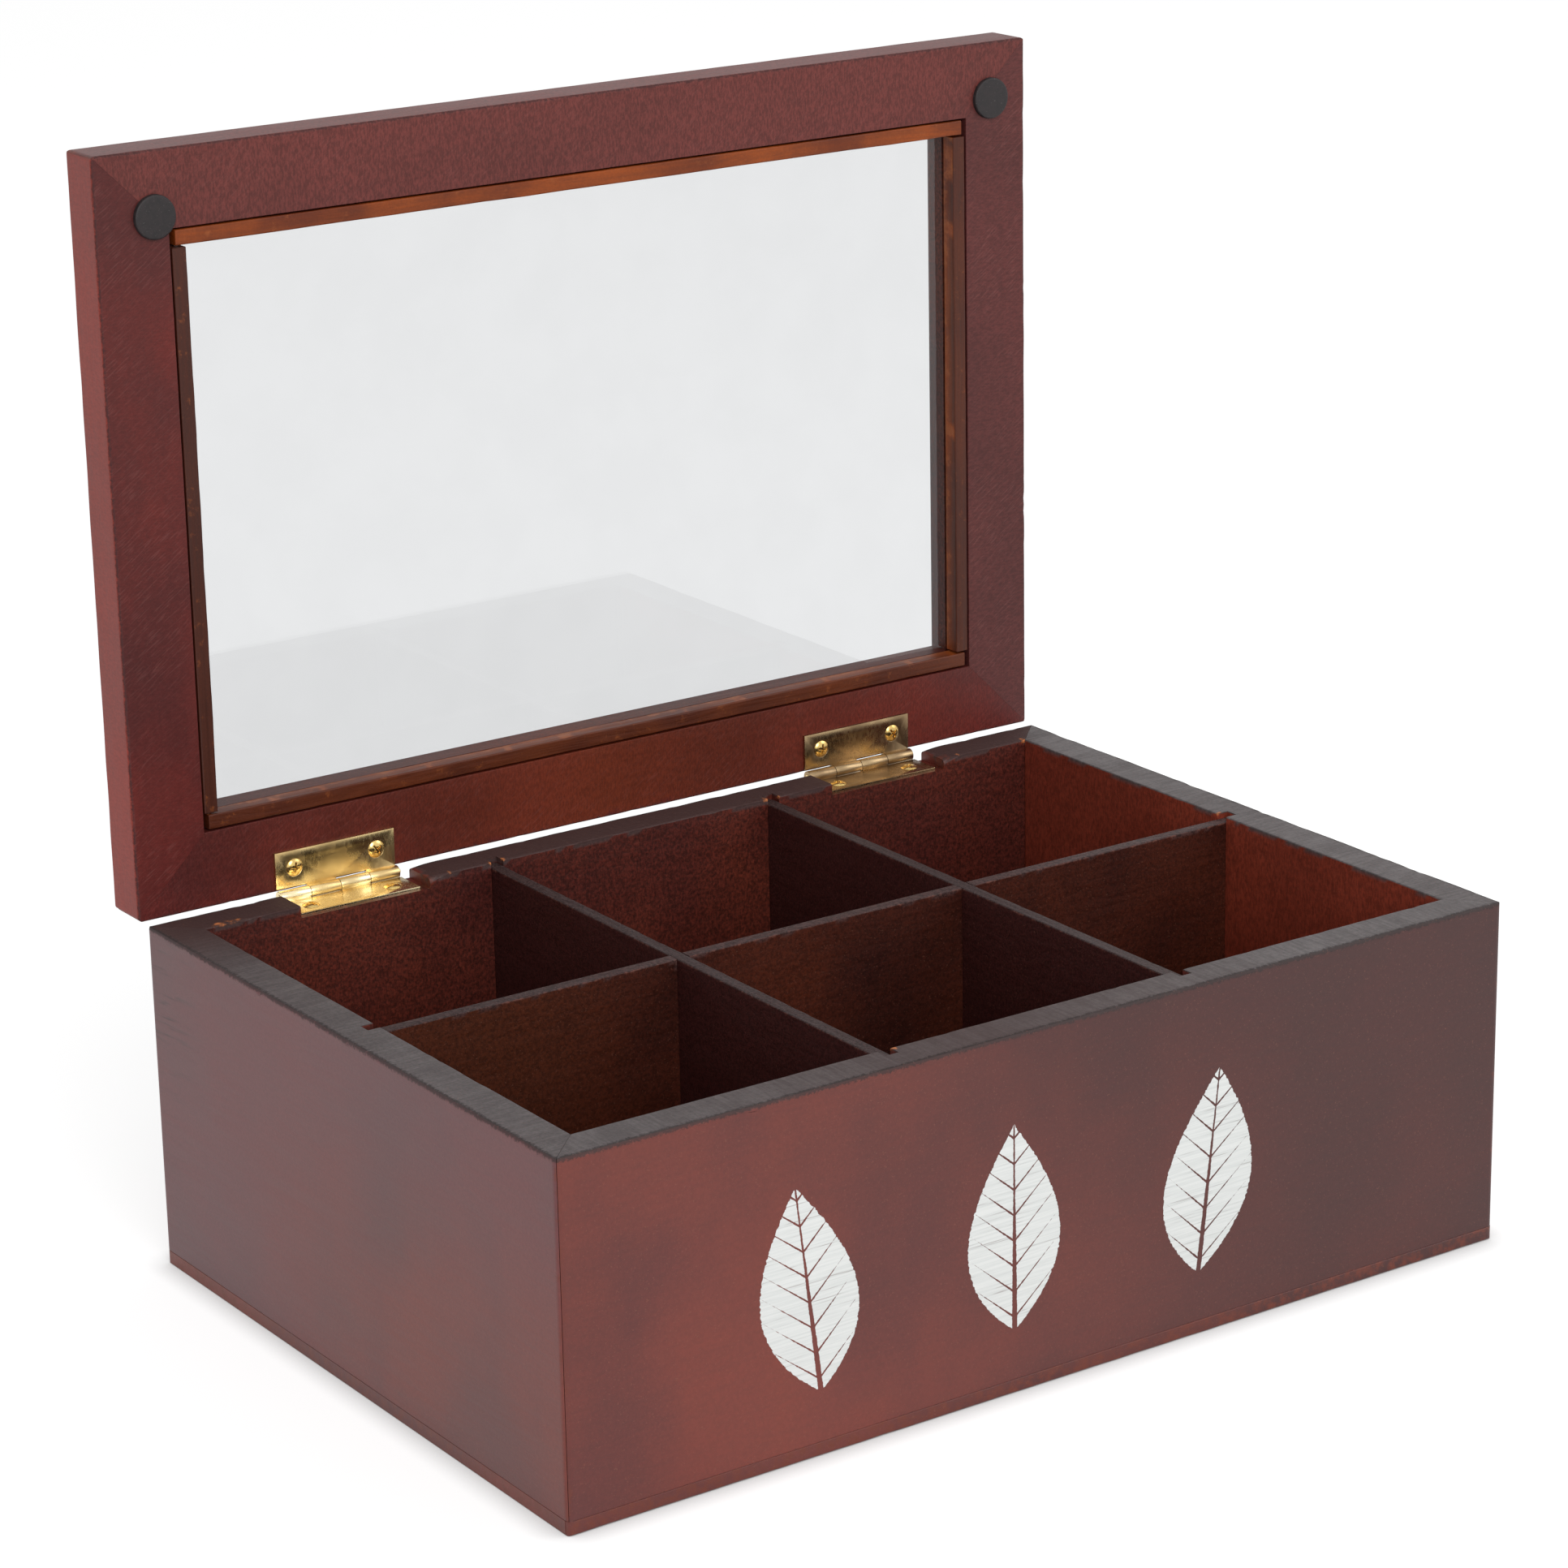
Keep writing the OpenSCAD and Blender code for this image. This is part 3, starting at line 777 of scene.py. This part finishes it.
def wall_outline(seed, half, gained):
    """The section of a wall: a rounded outer arris at the rim, a nearly sharp inner one."""
    dents = make_dents(seed, 2 * half, 14, 0.5 * MM)
    inner_dents = make_dents(seed + 50, 2 * half, 8, 0.3 * MM)
    groove_back = WALL_T - GROOVE_DEPTH

    def outline(place):
        calm = calm_ends(half, place)
        waves = 0.16 * MM * wander(seed, place, 7 * MM) + 0.1 * MM * wander(seed + 9, place, 2.4 * MM)
        outer = OUTER_ROUND + calm * (waves + dent_depth(dents, place))
        waves = 0.08 * MM * wander(seed + 3, place, 5 * MM)
        inner = INNER_ROUND + calm * (waves + dent_depth(inner_dents, place))
        spoiled = broken(place) if gained else 0.0
        inner += 0.9 * MM * spoiled
        top = BOX_H - 0.45 * MM * spoiled ** 2
        rows = [BASE_T + SEAM, BASE_T + 1 * MM, BASE_T + 4 * MM, 20 * MM, 40 * MM, 60 * MM]
        ring = [(SEAM, BASE_T)] + [(0.0, up) for up in rows]
        ring += [(0.0, GAIN_FLOOR - 3 * MM), (0.0, GAIN_FLOOR), (0.0, top - 1.8 * MM), (0.0, top - 1.2 * MM)]
        ring += arc(outer, top - outer, outer, 180, 90, 6)
        ring += [(2.2 * MM, top), (4.2 * MM, top), (groove_back, top), (WALL_T - 1.2 * MM, top)]
        ring += arc(WALL_T - inner, top - inner, inner, 90, 0, 3)
        ring += [(WALL_T, up) for up in (top - 1.5 * MM, GAIN_FLOOR - 0.4 * MM, DIVIDER_TOP - 3 * MM)]
        ring += [(WALL_T, up) for up in (60 * MM, 40 * MM, 20 * MM)]
        ring += [(WALL_T, BASE_T + 3 * MM), (WALL_T, BASE_T), (groove_back, BASE_T)]
        return [(across, max(up, BASE_T)) for across, up in ring]
    return outline


def wall_masks(half, gained, look):
    """Masks of a wall. look gives its bare spots and the strength of what differs from wall to wall."""
    def masks(place, across, up):
        spoiled = broken(place) if gained and across > WALL_T - 4 * MM and up > BOX_H - 3 * MM else 0.0
        on_rim = up > BOX_H - (0.8 if spoiled else 0.3) * MM and across > 0.3 * MM
        outer = across < 1.3 * MM
        inner = across > WALL_T - 4 * MM and up < BOX_H - 0.2 * MM
        rubbed = 0.8 * near(abs(place), half, 3.2 * MM) if outer and up < BOX_H - 0.5 * MM else 0.0
        rubbed = max(rubbed, 0.6 * near(up, BASE_T, 1.2 * MM) if across < 0.5 * MM else 0.0, 0.8 * spoiled)
        # A dark band along the rim's outer arris and the bottom edge: partly grime, partly painted shade
        grime = near(up, BOX_H - 0.3 * MM, 1.6 * MM) * near(across, 0.3 * MM, 1.9 * MM)
        grime = max(grime, 0.55 * near(up, BASE_T, 0.9 * MM) if across < 0.5 * MM else 0.0)
        bare = 0.0
        for where, width, height in look["bare_spots"]:
            if across > WALL_T - 1.3 * MM and up > BOX_H - height:
                bare = max(bare, near(place, where, width))
        return {
            "rim": 1.0 if on_rim else 0.0,
            "rubbed": rubbed,
            "inside": look["inside"] if inner else 0.0,
            "bare": bare,
            "tinted": look["inner_tint"] if inner else look["tinted"](place, up),
            "grime": grime,
            "scratched": look["scratched"](place, up) if outer else 0.0,
            "soaked": look["soaked"](place) if on_rim else 0.0,
            "fuzzy": 1.0 if inner else 0.0,
        }
    return masks


# The colour of the front's painted shade, which the base's front edge shares
FRONT_SHADE = seen(63, 26, 23)


def front_painted_shade(place, up):
    """Painted shade: the front is painted darker, so it looks greyer, towards its right end and its upper
    edge.
    """
    right = rise(place, -80 * MM, 100 * MM)
    high = max(up / BOX_H, 0.0) ** 2
    return min(1.0, 0.85 * right + high * (0.2 + 0.2 * rise(place, -110 * MM, 0.0)))


def side_painted_sheen(place, up):
    """Painted sheen: the left side is tinted a mauve-grey veil, with less of it, so it is redder, low down
    towards the front.
    """
    low_front = rise(place, -70 * MM, 35 * MM) * rise(up, 74 * MM, 22 * MM)
    return 0.78 * (1.0 - 0.95 * low_front)


def side_scratched(place, up):
    """Sanding lines run in from the rear end of the left side."""
    return rise(place, -BOX_D / 2 + 24 * MM, -BOX_D / 2 + 4 * MM) * rise(up, 30 * MM, 60 * MM)


def side_darker_rim(place):
    """The rim is darker and browner towards the rear end."""
    return 0.85 * rise(place, -BOX_D / 2 + 42 * MM, -BOX_D / 2 + 6 * MM)


def rear_darker_rim(place):
    """The rear's rim is darker and browner all along."""
    return 0.95


def front_darker_rim(place):
    """The front's rim is browner beside the left short divider."""
    return 0.62 * near(place, SHORT_X[0] + 20 * MM, 80 * MM)


def nowhere(place, up=0.0):
    return 0.0


def everywhere(place):
    return 1.0


def build_wall(name, seed, half, grooves, gains, look, material):
    notches = [{"start": at - HALF_SLOT, "end": at + HALF_SLOT, "most_across": WALL_T - GROOVE_DEPTH}
               for at in grooves]
    notches += [{"start": start, "end": end, "most_up": GAIN_FLOOR} for start, end in gains]
    gained = bool(gains)
    made = board(name + "_board", WALL_AXES[name], half, wall_outline(seed, half, gained),
                 wall_masks(half, gained, look), material, notches, chamfer=MITRE_CHAMFER,
                 corner=BOX_ARRIS, tint=look["tint"], seed=seed)
    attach(made, "box")
    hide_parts(name)
    return made


def build_base(material):
    """The base panel under the walls, with softened edges and rounded corners."""
    low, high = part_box("base_panel")
    half = (high.x - low.x) / 2
    depth = high.y - low.y
    edge = 0.5 * MM

    def outline(place):
        soft = edge + 0.1 * MM * wander(71, place, 6 * MM)
        ring = arc(soft, soft, soft, 270, 180, 4) + [(0.0, BASE_T - SEAM), (SEAM, BASE_T)]
        ring += [(depth * k / 12, BASE_T) for k in range(1, 12)]
        ring += [(depth - SEAM, BASE_T), (depth, BASE_T - SEAM)]
        ring += arc(depth - soft, soft, soft, 0, -90, 4)
        return ring + [(depth * k / 12, 0.0) for k in range(11, 0, -1)]

    def masks(place, across, up):
        reach = 1.5 * MM
        outside = max(near(abs(place), half, reach), near(across, 0, reach), near(across, depth, reach))
        return {
            "rubbed": 0.75 * outside,
            # The base's top takes the darker inside colour, partly painted shade
            "inside": 0.6 if outside == 0.0 else 0.0,
            # The base's front edge takes the front's painted shade
            "tinted": front_painted_shade(place, up) if across < SEAM else 0.0,
        }

    axes = (Y * low.y, X, Y, Z)
    made = board("base_panel_board", axes, half, outline, masks, material, corner=BOX_ARRIS, depth=depth,
                 tint=FRONT_SHADE, seed=31)
    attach(made, "box")
    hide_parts("base_panel")
    return made


def build_divider(name, axes, half, slots, from_above, tint, tinted, seed, material):
    """A thin divider with a slightly chipped top edge, halved over the ones that it crosses."""
    thick = DIVIDER_T
    dents = make_dents(seed, 2 * half, 10, 0.3 * MM)

    def outline(place):
        soft = 0.28 * MM + 0.08 * MM * wander(seed, place, 3 * MM) + dent_depth(dents, place)
        soft = min(max(soft, 0.1 * MM), 1.2 * MM)
        heights = [HALVING / 2, HALVING, (HALVING + DIVIDER_TOP) / 2]
        heights += [DIVIDER_TOP - 3 * MM, DIVIDER_TOP - 1.3 * MM]
        ring = [(0.0, BASE_T)] + [(0.0, up) for up in heights]
        ring += arc(soft, DIVIDER_TOP - soft, soft, 180, 90, 4) + [(thick / 2, DIVIDER_TOP)]
        ring += arc(thick - 0.3 * MM, DIVIDER_TOP - 0.3 * MM, 0.3 * MM, 90, 0, 3)
        return ring + [(thick, up) for up in reversed(heights)] + [(thick, BASE_T)]

    def masks(place, across, up):
        top = 1.0 if up > DIVIDER_TOP - 0.25 * MM else 0.0
        rubbed = 1.0 if 0.05 * MM < DIVIDER_TOP - up < 0.9 * MM else 0.0
        return {"rim": top, "rubbed": rubbed, "tinted": tinted(place)}

    limit = "most_up" if from_above else "least_up"
    notches = [{"start": at - HALF_SLOT, "end": at + HALF_SLOT, limit: HALVING} for at in slots]
    made = board(name + "_board", axes, half, outline, masks, material, notches, tint=tint, seed=seed)
    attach(made, "box")
    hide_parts(name)
    return made


def wall_looks():
    """What differs from wall to wall, by name: tints, masks and bare spots."""
    edge = HALF_SLOT + 0.3 * MM
    rear_chips = [(side * edge - x, 1.0 * MM, 1.3 * MM) for x in SHORT_X for side in (-1, 1)]
    rear_chips += [(start - GAIN_SLOPE * 0.8, 0.9 * MM, 1.2 * MM) for start, _ in GAINS]
    rear_chips += [(BOX_W / 2 - WALL_T - x * MM, 1.6 * MM, 0.6 * MM) for x in (3, 6, 9)]
    rear_chips.append((WALL_T - BOX_W / 2, 1.4 * MM, 1.4 * MM))
    return {
        # Each wall's inside share sets how much of the darker inside colour, partly painted shade, its
        # inside face takes; the better lit the face, the less
        "front_wall": {
            # The front's tint is painted shade, towards its right end and its upper edge
            "tint": FRONT_SHADE, "tinted": front_painted_shade, "inner_tint": 0.0, "inside": 0.5,
            "soaked": front_darker_rim, "scratched": nowhere,
            "bare_spots": [(SHORT_X[0] + edge, 1.2 * MM, 1.3 * MM)],
        },
        "rear_wall": {
            "tint": BLACK, "tinted": nowhere, "inner_tint": 0.0, "inside": 0.75,
            "soaked": rear_darker_rim, "scratched": nowhere, "bare_spots": rear_chips,
        },
        "left_wall": {
            # The left wall's mauve tint is a painted sheen
            "tint": seen(98, 54, 58), "tinted": side_painted_sheen, "inner_tint": 0.0, "inside": 0.6,
            "soaked": side_darker_rim, "scratched": side_scratched, "bare_spots": [],
        },
        "right_wall": {
            # Painted light: the right wall's inside face is tinted a lighter orange, as it faces the lamps,
            # and takes little of the darker inside colour
            "tint": seen(134, 54, 36), "tinted": nowhere, "inner_tint": 0.9, "inside": 0.12,
            "soaked": nowhere, "scratched": nowhere, "bare_spots": [(edge, 1.0 * MM, 1.3 * MM)],
        },
    }


def build_box(front_material, wall_material, panel_material):
    half_w, half_d = BOX_W / 2, BOX_D / 2
    walls = (
        ("front_wall", FRONT_SEED, half_w, SHORT_X, []),
        ("rear_wall", 2, half_w, [-x for x in SHORT_X], GAINS),
        ("left_wall", 3, half_d, [0.0], []),
        ("right_wall", 4, half_d, [0.0], []),
    )
    looks = wall_looks()
    for name, seed, half, grooves, gains in walls:
        material = front_material if name == "front_wall" else wall_material
        build_wall(name, seed, half, grooves, gains, looks[name], material)
    build_base(wall_material)
    low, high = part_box("long_divider")
    build_divider("long_divider", (Y * low.y, X, Y, Z), (high.x - low.x) / 2, SHORT_X, True,
                  seen(70, 32, 16), long_tinted, 21, panel_material)
    for seed, (side, x) in enumerate(zip(("left", "right"), SHORT_X), start=22):
        low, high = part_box(f"short_divider_{side}")
        build_divider(f"short_divider_{side}", (X * high.x, Y, -X, Z), (high.y - low.y) / 2, [0.0], False,
                      seen(56, 24, 22), everywhere, seed, panel_material)


def long_tinted(place):
    """The long divider is browner at its left end."""
    return 0.8 * rise(place, SHORT_X[0], SHORT_X[0] - 50 * MM)


# ---------------------------------------------------------------- lid

def build_rail(name, seed, half, look, material):
    """A mitred rail of the lid frame, with a rebate for the glass and a lip over it."""
    dents = make_dents(seed, 2 * half, 10, 0.35 * MM)

    def outline(place):
        calm = calm_ends(half, place)
        low = look["arris"] + calm * (0.1 * MM * wander(seed, place, 6 * MM) + dent_depth(dents, place))
        high = look["back"] + calm * 0.12 * MM * wander(seed + 5, place, 8 * MM)
        fine = 0.2 * MM + calm * 0.05 * MM * wander(seed + 7, place, 3 * MM)
        ring = arc(low, low, low, 270, 180, 5)
        ring += [(0.0, 1.6 * MM), (0.0, LID_T / 2)]
        ring += arc(high, LID_T - high, high, 180, 90, 5)
        ring += [(3 * MM, LID_T), (RAIL_W / 2, LID_T), (RAIL_W, LID_T)]
        ring += arc(LIP_W - 0.5 * MM, LID_T - 0.5 * MM, 0.5 * MM, 90, 0, 3)
        ring += [(LIP_W, GLASS_SEAT), (RAIL_W, GLASS_SEAT)]
        ring += arc(RAIL_W - fine, fine, fine, 0, -90, 2)
        return ring + [(RAIL_W - 2 * MM, 0.0), (RAIL_W / 2, 0.0), (3 * MM, 0.0), (1.6 * MM, 0.0)]

    def masks(place, across, up):
        edge = across < 0.2 * MM
        outer = across < 1.5 * MM
        rubbed = near(abs(place), half, 1.8 * MM) if outer else 0.0
        if across < 1.0 * MM:
            rubbed = max(rubbed, 0.5 * near(up, LID_T, 0.9 * MM))
        return {
            "rubbed": rubbed,
            # A dark band along the outer arris: partly grime, partly painted shade
            "grime": 0.8 * near(up, 0.2 * MM, 1.2 * MM) * near(across, 0.2 * MM, 1.3 * MM),
            "tinted": look["edge"] if edge else look["face"](place),
            # The lip under the glass takes the darker inside colour as painted shade
            "inside": look["lip"] if across > RAIL_W + 0.1 * MM else 0.0,
            "scratched": look["scratched"] if up < 1.0 * MM and across > 0.2 * MM else 0.0,
            "fuzzy": look["fuzzy"],
        }

    def crown(place, up):
        radius = look["rear_end"] if place * look["rear_way"] > 0 else 0.9 * MM
        over = max(up - (LID_T - radius), 0.0)
        return radius - math.sqrt(max(radius * radius - over * over, 0.0))

    made = board(name + "_board", LID_AXES[name], half, outline, masks, material,
                 chamfer=0.02 * MM, corner=LID_ARRIS, crown=crown, tint=look["tint"], seed=seed)
    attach(made, "lid")
    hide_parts(name)
    return made


def build_bead(name, axes, half, tinted, seed, material):
    """A thin glazing bead with softened, slightly uneven edges and square ends."""
    def outline(place):
        soft = 0.35 * MM + 0.1 * MM * wander(seed, place, 4 * MM)
        thin = 0.07 * MM * (1 + wander(seed + 2, place, 15 * MM))
        inner = BEAD_W - thin
        ring = arc(soft, soft, soft, 270, 180, 3) + [(0.0, BEAD_T)]
        ring += [(inner, BEAD_T)]
        return ring + arc(inner - soft, soft, soft, 0, -90, 3)

    def masks(place, across, up):
        on_side = across > BEAD_W - 0.5 * MM and up > 0.4 * MM
        return {
            # The window-facing side is painted lighter orange through the worn mask, a painted highlight
            "rubbed": 1.4 if on_side else 0.8 * near(up, 0.0, 0.8 * MM),
            "tinted": 0.0 if on_side else tinted,
        }

    made = board(name + "_strip", axes, half, outline, masks, material, tint=seen(60, 25, 15), seed=seed)
    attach(made, "lid")
    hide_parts(name)
    return made


def build_bumper(name, material):
    """A rubber disc with a rounded edge and a slightly crowned face."""
    low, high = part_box(name)
    radius = (high.x - low.x) / 2
    thick = high.y - low.y
    edge = 0.4 * MM
    profile = [(0.0, thick), (radius * 0.45, thick - 0.01 * MM), (radius * 0.8, thick - 0.04 * MM)]
    profile += [(across, up - 0.06 * MM) for across, up in arc(radius - edge, thick - edge, edge, 90, 0, 4)]
    profile += [(radius, 0.0)]
    middle = Vector(((low.x + high.x) / 2, high.y, (low.z + high.z) / 2))
    turns = 64
    bm = bmesh.new()
    rings = []
    for across, up in profile:
        ring = []
        for k in range(turns):
            turn = 2 * math.pi * k / turns
            around = Vector((across * math.cos(turn), -up, across * math.sin(turn)))
            ring.append(bm.verts.new(middle + around))
        rings.append(ring)
    for first, second in zip(rings, rings[1:]):
        for k in range(turns):
            j = (k + 1) % turns
            bm.faces.new((first[k], first[j], second[j], second[k]))
    bm.faces.new(rings[-1])
    made = finish_mesh(bm, name + "_disc", material)
    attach(made, "lid")
    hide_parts(name)
    return made


def rear_rail_tinted(place):
    """The rear rail is more orange along its middle."""
    return 0.85 * near(place, 0.0, 115 * MM)


def build_lid(rail_material, bead_material, rubber_material):
    rails = {
        # Painted light: the left rail's outer edge is tinted a brighter red, as if lit, and the front and
        # right rails are tinted greyer, a painted sheen
        "lid_front_rail": {"tint": seen(96, 45, 41), "edge": 0.9, "face": everywhere,
                           "scratched": 0.1, "fuzzy": 1.0, "arris": 0.6 * MM},
        # The rear rail's lip takes less of that painted shade, as light reaches it
        "lid_rear_rail": {"tint": seen(104, 42, 20), "edge": 0.0, "face": rear_rail_tinted, "lip": 0.3,
                          "scratched": 0.12, "fuzzy": 0.7, "arris": 0.25 * MM, "back": 2.4 * MM},
        "lid_left_rail": {"tint": seen(138, 52, 42), "edge": 1.0, "face": nowhere, "rear_way": -1,
                          "scratched": 0.16, "fuzzy": 0.4, "arris": 0.6 * MM},
        "lid_right_rail": {"tint": seen(86, 41, 39), "edge": 0.8, "face": everywhere, "rear_way": 1,
                           "scratched": 0.18, "fuzzy": 0.7, "arris": 0.6 * MM},
    }
    usual = {"back": 0.9 * MM, "rear_way": 0, "rear_end": 2.4 * MM, "lip": 1.0}
    halves = (LID_W / 2, LID_W / 2, LID_D / 2, LID_D / 2)
    for seed, (name, half) in enumerate(zip(rails, halves), start=11):
        build_rail(name, seed, half, {**usual, **rails[name]}, rail_material)
    beads = (("front", X, -Z, 0.0), ("rear", -X, Z, 0.65), ("left", Z, X, 0.95), ("right", -Z, -X, 0.85))
    for seed, (side, along, inward, tinted) in enumerate(beads, start=41):
        low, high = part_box(f"bead_{side}")
        half = abs((high - low).dot(along)) / 2
        origin = (low + high) / 2 - inward * BEAD_W / 2 - Y * BEAD_T / 2
        build_bead(f"bead_{side}", (origin, along, inward, Y), half, tinted, seed, bead_material)
    for side in ("left", "right"):
        build_bumper(f"bumper_{side}", rubber_material)


# ---------------------------------------------------------------- carried-over metal and glass

def soften_node(node, material, width, sharp=30.0):
    """Gives a CAD node its material, and a small rounding to its edges."""
    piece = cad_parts[node]
    piece.data.materials.clear()
    piece.data.materials.append(material)
    weld = piece.modifiers.new("joined_points", "WELD")
    weld.merge_threshold = 1e-6
    rounding = piece.modifiers.new("soft_edges", "BEVEL")
    rounding.width = width
    rounding.segments = 2
    rounding.limit_method = "ANGLE"
    rounding.angle_limit = math.radians(sharp)
    rounding.harden_normals = True
    piece.data.shade_smooth()


def dress_metal_and_glass(bright, half_shaded, aged_and_shaded, screw_material, glass_material):
    """Painted light, in lit and shaded copies of brass: the left hinge is brighter than the right one, and
    its box leaf is the brightest.
    """
    metals = {"left": (bright, half_shaded, bright), "right": (aged_and_shaded, aged_and_shaded, half_shaded)}
    for side, materials in metals.items():
        for part, material in zip(("box_leaf", "lid_leaf", "pin"), materials):
            soften_node(f"hinge_{side}_{part}", material, LEAF_EDGE)
    for part in ("box_hinge_screws", "lid_hinge_screws"):
        soften_node(part, screw_material, SCREW_EDGE)
    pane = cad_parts["glass_pane"]
    pane.data.materials.clear()
    pane.data.materials.append(glass_material)
    pane.data.shade_flat()


# ---------------------------------------------------------------- camera, lights and floor

def make_camera():
    data = bpy.data.cameras.new("camera")
    data.lens = CAMERA_LENS
    data.sensor_width = 36.0
    data.clip_start = 0.01
    camera = bpy.data.objects.new("camera", data)
    facing = (CAMERA_AIM - CAMERA_PLACE).to_track_quat("-Z", "Y").to_matrix().to_4x4()
    camera.matrix_world = (
        Matrix.Translation(CAMERA_PLACE) @ facing @ Matrix.Rotation(math.radians(CAMERA_ROLL), 4, "Z")
    )
    bpy.context.scene.collection.objects.link(camera)
    bpy.context.scene.camera = camera


def make_lamp(name, place, size, power):
    data = bpy.data.lights.new(name, "AREA")
    data.shape = "DISK"
    data.size = size
    data.energy = power
    lamp = bpy.data.objects.new(name, data)
    lamp.location = place
    lamp.rotation_euler = (Vector((0, 0, 0.08)) - Vector(place)).to_track_quat("-Z", "Y").to_euler()
    bpy.context.scene.collection.objects.link(lamp)


def make_world():
    """White for the camera, reflections and what is seen through glass, and a softer light on surfaces."""
    world = bpy.data.worlds.new("studio")
    bpy.context.scene.world = world
    world.use_nodes = True
    tree = world.node_tree
    strength = between(tree, seen_directly(tree), 0.0, 1.0, SOFT_LIGHT, 1.0)
    feed(tree, tree.nodes["Background"], Strength=strength)
    tree.nodes["Background"].inputs["Color"].default_value = (1, 1, 1, 1)


def make_floor():
    """A white floor that keeps a soft shadow where the box stands."""
    bm = bmesh.new()
    corners = ((-1, -1), (1, -1), (1, 1), (-1, 1))
    bm.faces.new([bm.verts.new((x * FLOOR_REACH, y * FLOOR_REACH, -0.1 * MM)) for x, y in corners])
    mesh = bpy.data.meshes.new("floor")
    bm.to_mesh(mesh)
    bm.free()
    material, tree, shader = new_material("studio_floor")
    tree.nodes.remove(shader)
    plain = add(tree, "ShaderNodeBsdfDiffuse", {"Color": (0.8, 0.8, 0.8, 1)})
    shaded = add(tree, "ShaderNodeBsdfDiffuse", {"Color": (FLOOR_GREY, FLOOR_GREY, FLOOR_GREY, 1)})
    touching = add(tree, "ShaderNodeAmbientOcclusion", {"Distance": CONTACT_REACH}, samples=6)
    glow = add(tree, "ShaderNodeEmission", {"Color": touching.outputs["Color"], "Strength": FLOOR_GLOW})
    bright = add(tree, "ShaderNodeAddShader", {0: shaded.outputs[0], 1: glow.outputs[0]})
    mixed = add(tree, "ShaderNodeMixShader", {0: seen_directly(tree), 1: plain.outputs[0],
                                                 2: bright.outputs[0]})
    feed(tree, tree.nodes["Material Output"], Surface=mixed.outputs[0])
    mesh.materials.append(material)
    floor = bpy.data.objects.new("floor", mesh)
    bpy.context.scene.collection.objects.link(floor)


def main():
    tones = {
        "red": seen(112, 46, 34), "deep": seen(92, 38, 35), "scratch": seen(56, 28, 28),
        "inside": seen(84, 33, 18), "inside_dark": seen(60, 22, 17), "soaked": seen(54, 25, 21),
        # The rim's greys are end grain with a painted sheen
        "rim": seen(96, 88, 88), "rim_dark": seen(60, 52, 52), "worn": seen(104, 42, 24),
        "grime": seen(38, 29, 28),
    }
    lid_tones = dict(tones, red=seen(98, 34, 29), deep=seen(78, 32, 31), scratch=seen(150, 96, 92),
                     worn=seen(120, 54, 40), grime=seen(58, 33, 33))
    finish = {"index": 1.5, "shine": 0.5, "sheen": 0.38, "whole": False, "angle": 0.06, "fineness": 0.35,
              "sand": 0.07, "fibre": 0.045, "pores": 0.06, "specks": 0.22}
    lid_finish = dict(finish, index=1.42, shine=0.36, sheen=0.42, whole=True, angle=0.62, fineness=1.0,
                      sand=0.07, fibre=0.04, pores=0.1, specks=0.1)
    front, tree, shader = stained_wood("front_wood", tones, finish)
    print_leaves(tree, shader)
    walls = stained_wood("wall_wood", tones, finish)[0]
    rails = stained_wood("lid_wood", lid_tones, lid_finish)[0]
    build_box(front, walls, stained_panel())
    build_lid(rails, bead_wood(), bumper_rubber())
    # Painted light: lit and shaded copies of one brass; bright for the left box leaf and pin, half shaded
    # for the left lid leaf and the right pin, shaded for the right leaves
    bright = brass("bright_brass", seen(253, 236, 192), seen(206, 180, 128), 0.8, 0.2)
    half_shaded = brass("half_shaded_brass", seen(246, 218, 158), seen(196, 166, 112), 0.8, 0.22)
    aged_and_shaded = brass("shaded_brass", seen(182, 156, 118), seen(118, 95, 71), 0.8, 0.24)
    screws = brass("screw_brass", seen(236, 204, 130), seen(168, 128, 72), 0.7, 0.16)
    dress_metal_and_glass(bright, half_shaded, aged_and_shaded, screws, window_glass())
    make_camera()
    make_lamp("key", (-0.7, -1.9, 1.2), 1.4, 26)
    make_lamp("fill", (1.5, -0.9, 1.2), 1.2, 7)
    make_world()
    make_floor()
    bpy.context.scene.view_settings.view_transform = "Standard"


main()
